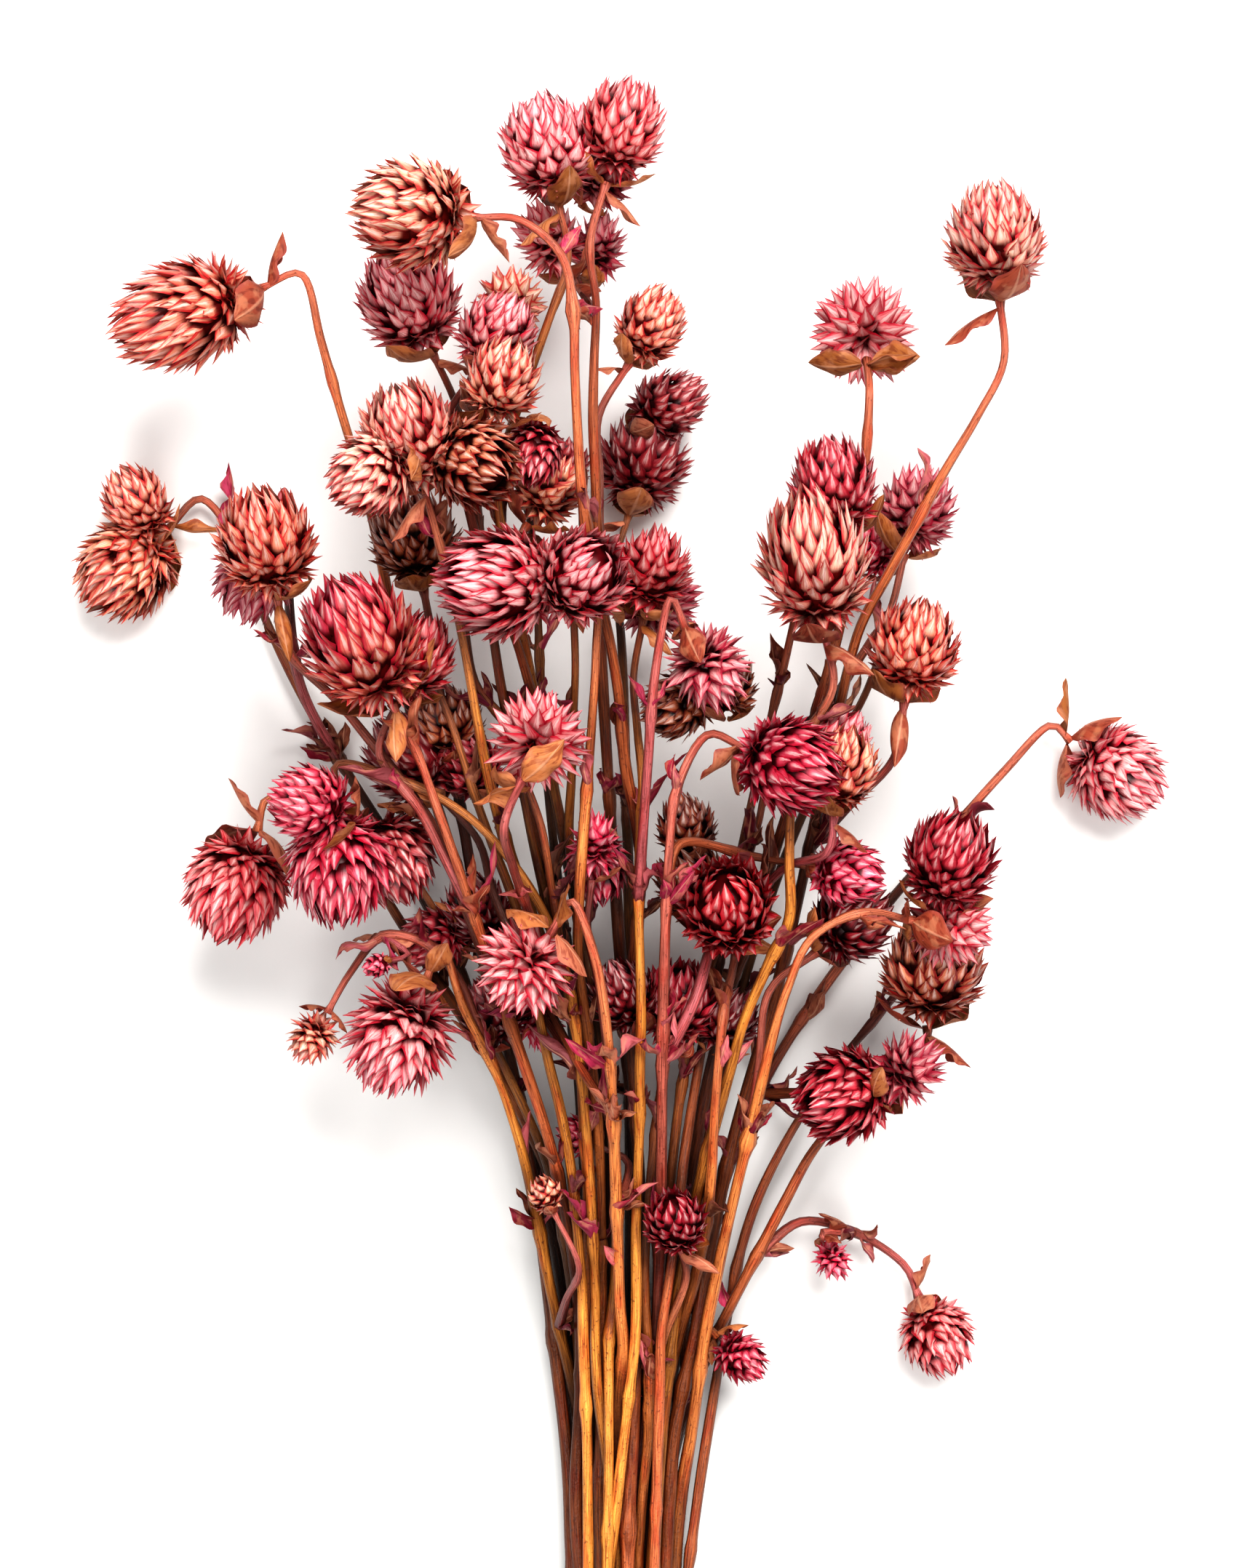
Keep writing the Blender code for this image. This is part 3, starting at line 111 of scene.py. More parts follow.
# Heads, those that are grown against each other in one row: number, palette, across, along, radius,
# length to width, height in the bunch (0 low, 1 high), direction in degrees from +X, and upwards
HEADS = (
    ("heads_top_trio",
     (1, "rose", 3, 298, 10.5, 1.2, 0.55, 75, 0),
     (2, "pink", -22, 292, 11.8, 1.1, 0.60, 100, 10),
     (3, "mauve", -6, 287, 8.7, 1.1, 0.45, 60, -10)),
    ("head_top_left", (4, "peach", -47, 279, 12.9, 1.1, 0.85, 180, 20)),
    ("heads_top_pair",
     (5, "pink", -17, 276, 8.6, 1.2, 0.55, 120, 0),
     (6, "mauve", -7, 272, 7.3, 1.3, 0.50, 80, 0)),
    ("head_upper_left", (7, "pink", -47, 260, 12.3, 1.1, 0.60, 115, 20)),
    ("heads_upper_trio",
     (8, "pink", -31, 251, 9.5, 1.1, 0.60, 60, 10),
     (9, "peach", -22, 260, 8.6, 1.1, 0.45, 90, -30),
     (12, "peach", -28, 241, 9.5, 1.1, 0.62, 70, 10)),
    ("head_upper_small", (10, "terracotta", 5, 254, 8.4, 1.2, 0.40, 60, 0)),
    ("head_nodding_left", (11, "terracotta", -97, 257, 13.3, 1.4, 0.40, 200, 10)),
    ("heads_tucked_trio",
     (13, "dark_rose", -22, 229, 7.3, 1.2, 0.60, 260, 20),
     (19, "tan", -20, 216, 8.7, 1.1, 0.45, 60, -10),
     (20, "dusky", -13, 224, 6.6, 1.0, 0.38, 80, 0)),
    ("heads_blush_trio",
     (14, "blush", -48, 230, 11.8, 1.1, 0.80, 105, 25),
     (15, "blush", -56, 222, 9.9, 1.1, 0.85, 215, 10),
     (16, "chestnut", -34, 224, 11, 1.1, 0.70, 330, 40)),
    ("heads_dusky_pair",
     (17, "dusky", 9, 237, 9.1, 1.2, 0.10, 35, -5),
     (18, "dusky", 3, 223, 11.8, 1.1, -0.01, 75, -5)),
    ("head_tall_right", (21, "blush", 81, 273, 11.8, 1.15, 0.60, 95, 10)),
    ("head_upper_right", (22, "pink", 52, 253, 12.5, 1.0, 0.50, 90, -50)),
    ("heads_far_left_pair",
     (23, "terracotta", -107, 215, 8.7, 1.2, 0.06, 120, 10),
     (24, "tan", -110, 200, 12.5, 1.1, -0.02, 225, 15)),
    ("heads_left_pair",
     (25, "terracotta", -78, 210, 12.1, 1.1, 0.75, 100, 25),
     (26, "mauve", -81, 196, 10.7, 1.1, 0.60, 250, -10)),
    ("head_dark_left", (27, "brown", -47, 207, 11, 1.1, 0.35, 100, 10)),
    ("heads_magenta_pair",
     (28, "ripe", -60, 185, 13.6, 1.25, 0.95, 115, 30),
     (79, "rose", -47, 179, 9.9, 1.1, 0.75, 70, 10)),
    ("heads_middle_pair",
     (29, "pink", -28, 198, 13.3, 1.2, 0.85, 180, 35),
     (30, "pink", -10, 199, 11, 1.1, 0.80, 40, 50)),
    ("heads_rosy_pair",
     (31, "rose", 5, 205, 10.2, 1.1, 0.65, 80, 15),
     (32, "mauve", 6, 190, 9.9, 1.1, 0.60, 10, 10)),
    ("heads_inner_trio",
     (33, "mauve", 16, 179, 10.2, 1.1, 0.65, 300, -20),
     (43, "brown", 26, 177, 7.6, 1.1, 0.50, 90, 0),
     (78, "brown", 7, 169, 8.4, 1.1, 0.40, 200, 0)),
    ("heads_long_pair",
     (34, "dark_rose", 46, 219, 10.2, 1.2, 0.60, 100, 10),
     (35, "blush", 41, 201, 13.3, 1.35, 0.80, 100, 25)),
    ("heads_back_right_pair",
     (36, "mauve", 64, 214, 10.2, 1.1, 0.30, 75, -10),
     (37, "magenta", 55, 205, 7.3, 1.1, 0.30, 120, -10)),
    ("head_tan_right", (38, "terracotta", 60, 184, 11.3, 1.1, 0.45, 80, 10)),
    ("head_far_right", (39, "pink", 107, 156, 12.1, 1.1, -0.01, 325, 0)),
    ("heads_hooked_trio",
     (40, "magenta", 31, 159, 11.8, 1.1, 0.90, 340, 35),
     (41, "tan", 48, 152, 8.7, 1.2, 0.62, 80, 10),
     (42, "pink", 42, 168, 7.9, 1.2, 0.60, 60, 0)),
    ("head_centre_left", (44, "pink", -20, 163, 11.8, 1.0, 0.85, 70, -35)),
    ("heads_back_left_pair",
     (45, "dark_rose", -36, 155, 7.9, 1.1, 0.50, 120, 10),
     (82, "brown", -37, 169, 9.2, 1.1, 0.42, 100, 0),
     (46, "dusky", -49, 158, 11, 1.1, 0.45, 130, 0)),
    ("heads_drooping_trio",
     (47, "magenta", -69, 151, 9.5, 1.1, 0.70, 160, 0),
     (48, "magenta", -64, 134, 12.5, 1.15, 0.75, 270, 10),
     (80, "dusky", -50, 139, 11, 1.1, 0.60, 290, 0)),
    ("head_lower_left", (49, "rose", -86, 131, 12.9, 1.1, 0.35, 250, 10)),
    ("heads_bright_small_pair",
     (50, "bright", -8, 143, 6.5, 1.3, 0.75, 85, 0),
     (51, "magenta", -7, 131, 7.9, 1.2, 0.75, 275, 10)),
    ("heads_right_trio",
     (52, "dark_rose", 71, 137, 11.3, 1.1, 0.60, 70, 20),
     (53, "pink", 72, 123, 10.2, 1.0, 0.70, 350, -25),
     (54, "chestnut", 66, 109, 12.5, 1.1, 0.45, 85, 10)),
    ("heads_bright_right_pair",
     (55, "bright", 48, 135, 8.4, 1.1, 0.80, 350, 20),
     (58, "wine", 50, 121, 9.9, 1.1, 0.55, 40, 0)),
    ("heads_front_trio",
     (56, "crimson", 27, 124, 11.7, 1.1, 0.95, 100, 60),
     (57, "brown", 15, 137, 9.5, 1.1, 0.40, 120, 20),
     (77, "brown", 12, 149, 7.6, 1.1, 0.40, 100, 0)),
    ("heads_lower_right_pair",
     (59, "dark_rose", 47, 85, 11.8, 1.1, 0.75, 200, 35),
     (60, "mauve", 62, 93, 9.1, 1.1, 0.60, 40, -10)),
    ("head_front_open", (61, "pink", -22, 114, 12.1, 0.9, 0.95, 235, -25)),
    ("head_hanging", (62, "pink", -50, 99, 13.3, 1.1, 0.80, 245, 10)),
    ("bud", (63, "peach", -69, 98, 6.5, 1.1, 0.60, 240, 0)),
    ("heads_dark_lower_pair",
     (64, "wine", -32, 126, 8.7, 1.1, 0.45, 120, 0),
     (65, "dark_rose", -44, 119, 7.9, 1.1, 0.45, 200, 0)),
    ("heads_heart_trio",
     (66, "wine", 0, 107, 8.7, 1.1, 0.50, 110, 10),
     (67, "dark_rose", 12, 107, 9.9, 1.1, 0.55, 80, 20),
     (81, "wine", 22, 103, 7.9, 1.1, 0.45, 60, 0)),
    ("heads_small_lower_pair",
     (68, "bright", -19, 101, 6.1, 1.3, 0.60, 285, 10),
     (76, "wine", -28, 104, 8.4, 1.1, 0.45, 120, 0)),
    ("head_crimson_low", (69, "dark_rose", 10, 58, 7.9, 1.1, 0.95, 100, 40)),
    ("head_low_right", (70, "rose", 68, 32, 9.5, 1.1, -0.02, 295, 10)),
    ("bud",
     (71, "bright", 45, 49, 5, 1.2, 0.30, 290, 0),
     (72, "magenta", 24, 28, 6.5, 1.2, 0.60, 320, 10),
     (73, "bright", -2, 19, 5, 1.2, 0.95, 100, 20),
     (74, "magenta", -10, 76, 5, 1.2, 0.60, 150, 0),
     (83, "tan", -18, 63, 4.4, 1.1, 0.95, 115, 0),
     (75, "bright", -55, 113, 3.1, 1.2, 0.60, 200, 0)),
)

# Stems that end out of sight among the heads: number, across, along, height and direction
HIDDEN_ENDS = (
    (101, -36, 190, 0.42, 100), (103, -24, 158, 0.50, 110), (104, -12, 194, 0.45, 92),
    (106, 38, 196, 0.35, 78), (107, 57, 186, 0.15, 70), (110, 31, 160, 0.35, 82),
    (111, -51, 138, 0.30, 125), (113, -22, 215, 0.30, 98), (114, -44, 180, 0.50, 112),
    (116, 64, 113, 0.15, 50),
)

# Stems: head carried, name of a stalk or number of the stem it branches from, how far along it
# branches, and the places it passes on its way up
STEMS = (
    (11, "stalk_nodding_left", 0,
     ((-13, 30), (-22, 85), (-36, 131), (-48, 166), (-55, 205), (-64, 228), (-72, 250), (-77, 262))),
    (27, 11, 110, ((-40, 160), (-46, 185))),
    (24, "stalk_far_left", 0,
     ((-14, 50), (-27, 90), (-45, 130), (-64, 158), (-78, 184), (-84, 203), (-90, 209), (-95, 208))),
    (26, 24, 160, ((-74, 172),)),
    (28, "stalk_magenta", 0, ((-7, 35), (-14, 70), (-27, 104), (-38, 135), (-46, 155))),
    (25, 28, 100, ((-48, 150), (-66, 190))),
    (79, 28, 120, ((-42, 150),)),
    (14, "stalk_blush", 0,
     ((-3, 60), (-11, 95), (-25, 132), (-31, 150), (-36, 175), (-41, 200), (-46, 215))),
    (44, 14, 112, ((-28, 142),)),
    (4, "stalk_arched", 0,
     ((5, 40), (4, 90), (3, 128), (2, 155), (-1, 180), (-9, 210), (-12, 245), (-13, 270),
      (-20, 283), (-30, 285))),
    (5, 4, 260, ((-13, 266),)),
    (2, "stalk_top", 0, ((-3, 60), (-9, 120), (-20, 180), (-26, 220), (-28, 270))),
    (7, 2, -32, ((-10, 110), (-26, 160), (-33, 200), (-37, 232), (-44, 242))),
    (8, 7, 200, ((-34, 238),)),
    (19, 2, 170, ((-22, 202),)),
    (1, "stalk_top_right", 0, ((2, 60), (-3, 130), (-7, 190), (-9, 230), (-5, 270))),
    (10, 1, 200, ((-6, 236),)),
    (18, "stalk_dusky", 0, ((1, 80), (1, 140), (1, 190))),
    (29, "stalk_middle", 0, ((-5, 60), (-9, 120), (-10, 160), (-12, 184), (-15, 194))),
    (31, 29, -32, ((1, 60), (-2, 110), (-2, 150), (2, 185))),
    (33, 31, 130, ((9, 175), (12, 187))),
    (22, "stalk_upper_right", 0,
     ((12, 50), (18, 90), (30, 130), (40, 165), (47, 195), (50, 225), (51, 240))),
    (36, 22, 160, ((58, 195),)),
    (21, "stalk_tall_right", 0,
     ((15, 45), (24, 85), (38, 125), (50, 165), (62, 195), (71, 220), (79, 238), (82, 250))),
    (38, 21, 140, ((57, 168),)),
    (35, "stalk_long_right", 0, ((14, 60), (22, 100), (32, 140), (40, 172), (42, 180))),
    (39, "stalk_far_right", 0,
     ((15, 45), (26, 80), (38, 100), (55, 122), (72, 140), (84, 152), (94, 161), (98, 162))),
    (54, 39, 80, ((56, 92),)),
    (40, "stalk_hooked", 0,
     ((7, 50), (6, 100), (5, 132), (5, 152), (8, 163), (14, 166), (19, 163))),
    (41, 40, 90, ((28, 135), (42, 143))),
    (55, 40, 121, ((9, 138), (20, 143), (34, 142))),
    (67, 40, -32, ((6, 60), (9, 90))),
    (69, 67, 20, ((6, 42),)),
    (53, "stalk_right", 0, ((18, 45), (27, 80), (33, 105), (40, 122), (50, 127), (60, 124))),
    (58, 53, 75, ((42, 108),)),
    (56, "stalk_front", 0, ((17, 50), (20, 80), (24, 108))),
    (59, "stalk_lower_right", 0, ((22, 35), (30, 55), (38, 72), (50, 80), (56, 88))),
    (70, 59, 42, ((36, 54), (44, 52), (54, 46), (62, 39))),
    (71, 70, 53, ()),
    (72, 59, 10, ((20, 30),)),
    (62, "stalk_hanging", 0, ((-17, 40), (-22, 65), (-31, 87), (-41, 100))),
    (63, 62, 84, ((-42, 112), (-54, 119), (-66, 119), (-72, 111))),
    (75, 63, 119, ()),
    (49, "stalk_lower_left", 0,
     ((-11, 40), (-15, 65), (-26, 88), (-42, 111), (-53, 130), (-64, 141), (-73, 145), (-79, 142))),
    (61, "stalk_front_open", 0, ((-2, 60), (-2, 100), (-6, 122), (-11, 127), (-15, 123))),
    (50, 61, 95, ((-7, 130),)),
    (68, 61, 75, ((-12, 105), (-16, 110))),
    (74, 61, 55, ((-6, 72),)),
    (73, 61, 5, ()),
    (48, 61, -32,
     ((-6, 50), (-10, 105), (-18, 126), (-28, 140), (-40, 147), (-54, 150), (-62, 149))),
    (46, 48, 100, ((-38, 135),)),
    (64, 48, 85, ((-26, 115),)),
    (101, 14, -60, ((-5, 60), (-14, 100), (-27, 150))),
    (103, 49, -60, ((-9, 60), (-16, 100))),
    (104, 29, -50, ((-3, 60), (-6, 100), (-10, 150))),
    (106, 35, -60, ((10, 60), (17, 100), (27, 150))),
    (107, 22, -60, ((12, 60), (22, 100), (36, 145))),
    (110, 56, -60, ((9, 60), (15, 100))),
    (111, 62, -60, ((-13, 60), (-30, 95))),
    (113, 2, -60, ((-6, 60), (-13, 110), (-19, 160))),
    (114, 28, -60, ((-9, 60), (-20, 100), (-33, 140))),
    (116, 53, -60, ((20, 45), (33, 75), (50, 98))),
    (83, 62, 30, ((-14, 46),)),
)


def smooth(value):
    value = min(1.0, max(0.0, value))
    return value * value * (3 - 2 * value)


def bunch_thickness(along):
    growth = smooth(along / FULL_THICKNESS_AT)
    return GRIP_THICKNESS + (BUNCH_THICKNESS - GRIP_THICKNESS) * growth


def true_place(across, along, height):
    """Where something is that looks to be at this place when seen from the eye."""
    scale = (EYE_HEIGHT - height) / (EYE_HEIGHT - DRAWN_HEIGHT)
    return (EYE_ABOVE[0] + (across - EYE_ABOVE[0]) * scale,
            EYE_ABOVE[1] + (along - EYE_ABOVE[1]) * scale, height)


def direction(facing, tilt):
    turn, lift = math.radians(facing), math.radians(tilt)
    return np.array((math.cos(turn) * math.cos(lift), math.sin(turn) * math.cos(lift), math.sin(lift)))


def first_heads():
    ends = [(number, None, across, along, END_RADIUS, 1.0, lift, facing, 0)
            for number, across, along, lift, facing in HIDDEN_ENDS]
    heads = {}
    for cluster, *rows in (*HEADS, ("end", *ends)):
        for number, palette, across, along, radius, stretch, lift, facing, tilt in rows:
            height = radius + lift * max(0.0, bunch_thickness(along) - 2 * radius)
            gap = -BUD_SINK if cluster == "bud" else SEAT_GAP
            heads[number] = {"palette": palette, "cluster": cluster,
                             "centre": np.array(true_place(across, along, height)),
                             "radius": radius, "half": radius * stretch, "gap": gap,
                             "axis": direction(facing, tilt)}
    return heads


def head_base(head, centre):
    """The end of the stem that carries a head."""
    depth = head["half"] * BASE_SHRINK * math.cos(math.pi * HEAD_END)
    return centre - head["axis"] * (depth + head["gap"])


def grip_slots(count):
    """Places for the stalks where they are held, packed as round rods pack in a flat oval."""
    pitch = 2 * STALK_RADIUS + CLEARANCE + SLOT_ROOM
    slots = []
    for row in range(-4, 5):
        for column in range(-7, 8):
            x = (column + 0.5 * (row % 2)) * pitch
            z = row * pitch * math.sqrt(3) / 2
            slots.append((x * x / GRIP_FLATNESS + z * z, x, z))
    slots.sort()
    return np.array([(x, z) for _, x, z in slots[:count]])


def share_slots(wanted, slots):
    """Give each stalk a slot on its own side, so that the stalks fan out without crossing."""
    def miss(stalk, slot):
        return np.sum((wanted[stalk] - slots[slot]) ** 2)

    order = list(range(len(wanted)))
    better = True
    while better:
        better = False
        for a in range(len(order)):
            for b in range(a + 1, len(order)):
                now = miss(a, order[a]) + miss(b, order[b])
                if miss(a, order[b]) + miss(b, order[a]) < now - 1e-9:
                    order[a], order[b] = order[b], order[a]
                    better = True
    return [slots[slot] for slot in order]


def rounded(points):
    """Cut the corners of a route twice, which keeps its ends."""
    for _ in range(2):
        near, far = points[:-1], points[1:]
        cut = np.empty((2 * len(near), 3))
        cut[0::2] = near * 0.75 + far * 0.25
        cut[1::2] = near * 0.25 + far * 0.75
        cut[0], cut[-1] = points[0], points[-1]
        points = cut
    return points


def lengths_along(line):
    return np.concatenate(([0.0], np.cumsum(np.linalg.norm(np.diff(line, axis=0), axis=1))))


def evenly_spaced(line, count):
    run = lengths_along(line)
    wanted = np.linspace(0, run[-1], count)
    return np.column_stack([np.interp(wanted, run, line[:, axis]) for axis in range(3)])


def add_stem(stems, heads, number, parent, place, via, start):
    """The first route of one stem, from its start through the places it passes to its head."""
    head = heads[number]
    tip = head_base(head, head["centre"])
    neck = tip - head["axis"] * NECK_LENGTH
    foot = start[-1]
    reach = max(1.0, math.hypot(tip[0] - foot[0], tip[1] - foot[1]))
    route = list(start)
    for across, along in via:
        share = smooth(math.hypot(across - foot[0], along - foot[1]) / reach)
        route.append(true_place(across, along, foot[2] + (neck[2] - foot[2]) * share))
    route.extend([tuple(neck), tuple(tip)])
    route = rounded(np.array(route))
    points = evenly_spaced(route, max(3, int(round(lengths_along(route)[-1] / STEM_STEP)) + 1))
    thick = BRANCH_RADIUS if parent else STALK_RADIUS
    thin = NECK_RADIUS if head["cluster"] == "end" else min(NECK_RADIUS, 0.11 * head["radius"] + 0.2)
    radii = thick + (thin - thick) * np.linspace(0, 1, len(points)) ** STEM_TAPER
    stems[number] = {"points": points, "radii": radii, "parent": parent, "place": place}


def first_stems(heads):
    mains = [row for row in STEMS if isinstance(row[1], str)]
    wanted = []
    for number, _, _, via in mains:
        centre = heads[number]["centre"]
        sideways = via[0][0] + TOWARDS_HEAD[0] * centre[0]
        upwards = TOWARDS_HEAD[1] * (centre[2] - DRAWN_HEIGHT)
        wanted.append((sideways, upwards))
    slots = share_slots(np.array(wanted), grip_slots(len(mains)))
    lowest = min(slot[1] for slot in slots) - STALK_RADIUS
    stems = {}
    for (number, _, _, via), (across, upwards) in zip(mains, slots):
        height = upwards - lowest
        start = [(across, CUT_END, height), (across, STRAIGHT_AT[0], height),
                 (across * SPREAD_THERE, STRAIGHT_AT[1], height)]
        add_stem(stems, heads, number, 0, 0, via, start)
    waiting = [row for row in STEMS if not isinstance(row[1], str)]
    while waiting:
        for row in [row for row in waiting if row[1] in stems]:
            number, parent, leaves_at, via = row
            points = stems[parent]["points"]
            place = int(np.argmin(np.abs(points[:, 1] - leaves_at)))
            place = min(max(place, 2), len(points) - 2)
            add_stem(stems, heads, number, parent, place, via, [tuple(points[place])])
            waiting.remove(row)
    return stems


def root_of(stems, number):
    while stems[number]["parent"]:
        number = stems[number]["parent"]
    return number


def head_ties(heads):
    """Heads grown against each other: each head of a cluster with the nearest one before it."""
    ties = []
    numbers = list(heads)
    for index, number in enumerate(numbers):
        head = heads[number]
        mates = [other for other in numbers[:index]
                 if heads[other]["cluster"] == head["cluster"] not in LOOSE]
        if mates:
            gaps = [np.linalg.norm(heads[other]["centre"] - head["centre"]) for other in mates]
            ties.append((number, mates[int(np.argmin(gaps))]))
    return ties


def nearest(p1, p2, q1, q2):
    """The nearest places on pairs of segments, as shares of their lengths."""
    run, other, offset = p2 - p1, q2 - q1, p1 - q1
    a = np.einsum("ij,ij->i", run, run) + 1e-9
    e = np.einsum("ij,ij->i", other, other) + 1e-9
    b = np.einsum("ij,ij->i", run, other)
    c = np.einsum("ij,ij->i", run, offset)
    f = np.einsum("ij,ij->i", other, offset)
    spread = a * e - b * b
    s = np.where(spread > 1e-9, np.clip((b * f - c * e) / np.maximum(spread, 1e-9), 0, 1), 0.5)
    t = (b * s + f) / e
    s = np.where(t < 0, np.clip(-c / a, 0, 1), np.where(t > 1, np.clip((b - c) / a, 0, 1), s))
    return s, np.clip(t, 0, 1)


class Rods:
    """Every stretch of stem and every head as a rod with round ends, for finding what touches.

    Owners below 1000 are stems and above it heads. Groups are what is grown together: a stalk by
    the number of its head, a lone head from 2000 and a cluster of heads from 5000.
    """

    def __init__(self, heads, stems):
        self.stem_names, self.head_names = list(stems), list(heads)
        self.starts, self.head_rows = {}, {}
        points, radii, pairs = [], [], []
        for index, number in enumerate(self.stem_names):
            rows = stems[number]["points"]
            self.starts[number] = len(points)
            for step in range(len(rows) - 1):
                pairs.append((len(points) + step, len(points) + step + 1, index,
                              root_of(stems, number), step, len(rows) - 2, number))
            points.extend(rows)
            radii.extend(stems[number]["radii"])
        self.stem_points, self.stem_rods = len(points), len(pairs)
        clusters = {}
        for index, number in enumerate(self.head_names):
            head = heads[number]
            inner = head["axis"] * max(0.1, head["half"] - head["radius"])
            group = 2000 + index
            if head["cluster"] not in LOOSE:
                group = 5000 + clusters.setdefault(head["cluster"], len(clusters))
            self.head_rows[number] = len(points)
            pairs.append((len(points), len(points) + 1, 1000 + index, group, 0, -1, number))
            points.extend([head["centre"] - inner, head["centre"] + inner])
            radii.extend([head["radius"]] * 2)
        self.points, self.radii = np.array(points), np.array(radii)
        (self.low, self.high, self.owner, self.group, self.step, self.last,
         self.head) = np.array(pairs).T

    def near_pairs(self):
        """Pairs of rods near enough to touch soon, apart from those that are grown together."""
        middle = (self.points[self.low] + self.points[self.high]) / 2
        half = np.linalg.norm(self.points[self.low] - self.points[self.high], axis=1) / 2
        reach = half + np.maximum(self.radii[self.low], self.radii[self.high])
        a, b = np.triu_indices(len(middle), 1)
        near = np.linalg.norm(middle[a] - middle[b], axis=1) - reach[a] - reach[b] < NEARBY
        a, b = a[near], b[near]
        stem_a, stem_b = a < self.stem_rods, b < self.stem_rods
        same_group = self.group[a] == self.group[b]
        by_fork = (self.step[a] < 3) | (self.step[b] < 3) | (self.owner[a] == self.owner[b])
        forked = stem_a & stem_b & same_group & by_fork
        fused = ~stem_a & ~stem_b & same_group
        seated = (stem_a != stem_b) & (self.head[a] == self.head[b]) & np.where(
            stem_a, self.step[a] >= self.last[a] - 1, self.step[b] >= self.last[b] - 1)
        keep = ~(forked | fused | seated)
        return a[keep], b[keep]

    def part_rods(self, a, b, weight):
        """Push apart the rods that touch."""
        p1, p2 = self.points[self.low[a]], self.points[self.high[a]]
        q1, q2 = self.points[self.low[b]], self.points[self.high[b]]
        s, t = nearest(p1, p2, q1, q2)
        apart = p1 + (p2 - p1) * s[:, None] - q1 - (q2 - q1) * t[:, None]
        distance = np.linalg.norm(apart, axis=1)
        need = (self.radii[self.low[a]] * (1 - s) + self.radii[self.high[a]] * s
                + self.radii[self.low[b]] * (1 - t) + self.radii[self.high[b]] * t + CLEARANCE)
        hit = need > distance
        push = apart[hit] * ((need - distance) / np.maximum(distance, 1e-6))[hit, None]
        a, b, s, t = a[hit], b[hit], s[hit], t[hit]
        move, shares = np.zeros_like(self.points), np.zeros(len(self.points))
        for rows, share, sign in ((self.low[a], 1 - s, 1), (self.high[a], s, 1),
                                  (self.low[b], 1 - t, -1), (self.high[b], t, -1)):
            np.add.at(move, rows, push * (share * sign)[:, None])
            np.add.at(shares, rows, share)
        self.points += PUSH * move / np.maximum(shares, 1.0)[:, None] * weight


def settle(heads, stems):
    """Let stems and heads make room for each other, each staying near where it is seen."""
    rods = Rods(heads, stems)
    home = rods.points.copy()
    count = rods.stem_points
    weight = np.empty((len(home), 3))
    weight[:count], weight[count:] = STEM_MOVES, HEAD_MOVES
    ties = head_ties(heads)
    for turn in range(ROUNDS):
        if turn % SEARCH_EVERY == 0:
            a, b = rods.near_pairs()
        rods.part_rods(a, b, weight)
        rods.part_rods(a, b, weight)
        easing = 1.0 - turn / ROUNDS
        points = rods.points
        back = (home - points) * easing
        points[:count] += back[:count] * STEM_RETURN
        points[count:] += back[count:] * np.array(HEAD_RETURN)
        for number in rods.stem_names:
            stem, head = stems[number], heads[number]
            low = rods.starts[number]
            rows, rest = points[low:low + len(stem["points"])], home[low:low + len(stem["points"])]
            bend = (rows[:-2] + rows[2:] - rest[:-2] - rest[2:]) / 2 - rows[1:-1] + rest[1:-1]
            rows[1:-1] += (STIFFNESS[0] + STIFFNESS[1] * easing) * bend
            row = rods.head_rows[number]
            rows[-1] = head_base(head, (points[row] + points[row + 1]) / 2)
            rows[-2] = rows[-1] - head["axis"] * np.linalg.norm(rest[-1] - rest[-2])
            if stem["parent"]:
                rows[0] = points[rods.starts[stem["parent"]] + stem["place"]]
            else:
                rows[:2] = rest[:2]
        for one, other in ties:
            row, mate = rods.head_rows[one], rods.head_rows[other]
            link = (points[row] + points[row + 1] - points[mate] - points[mate + 1]) / 2
            length = np.linalg.norm(link)
            most = GROWN_CLOSE * (heads[one]["radius"] + heads[other]["radius"])
            if length > most:
                pull = link / length * (length - most) / 2
                points[row:row + 2] -= pull
                points[mate:mate + 2] += pull
        for number in rods.head_names:
            head, row = heads[number], rods.head_rows[number]
            centre = (points[row] + points[row + 1]) / 2
            centre[2] = max(centre[2], head["radius"] * GROUND_SINK)
            inner = head["axis"] * max(0.1, head["half"] - head["radius"])
            points[row], points[row + 1] = centre - inner, centre + inner
        points[:count, 2] = np.maximum(points[:count, 2], rods.radii[:count])
        rods.points = np.round(points, 4)
    for number in rods.stem_names:
        low = rods.starts[number]
        stems[number]["points"] = rods.points[low:low + len(stems[number]["points"])].copy()
    for number in rods.head_names:
        row = rods.head_rows[number]
        heads[number]["centre"] = (rods.points[row] + rods.points[row + 1]) / 2


heads = first_heads()
stems = first_stems(heads)
settle(heads, stems)
middle = np.array((CENTRE[0], CENTRE[1], SETTLED))

# Stems
#
# Dry ridged stems with swollen joints, golden brown where they are cut and thinner and pinker
# towards the heads. Side branches grow out of the joints.

PRESSED = 0.05              # what would reach below this height is pressed flat by the weight
RING_SIDES = 15
RING_STEP = 2.2             # along a stem
RIDGES = 5                  # ridges round a stem
RIDGE_HEIGHT = 0.05         # shares of the radius, as are the four below
UNEVEN = 0.06
JOINT_SWELLING = 0.32
THINNED = 0.2
FLARED = 0.5
UNEVEN_LENGTH = 9.0
JOINT_LENGTH = 2.6
JOINT_SPACING = 58.0
THIN_LENGTH = 65.0          # the slender, pinker end of a stem
SOCKET_LENGTH = 2.2         # the flared end under a head
RIDGE_TWIST = 0.006         # radians for each millimetre along
BRANCHES_ABOVE = 20.0       # stems that leave another one above here are side branches

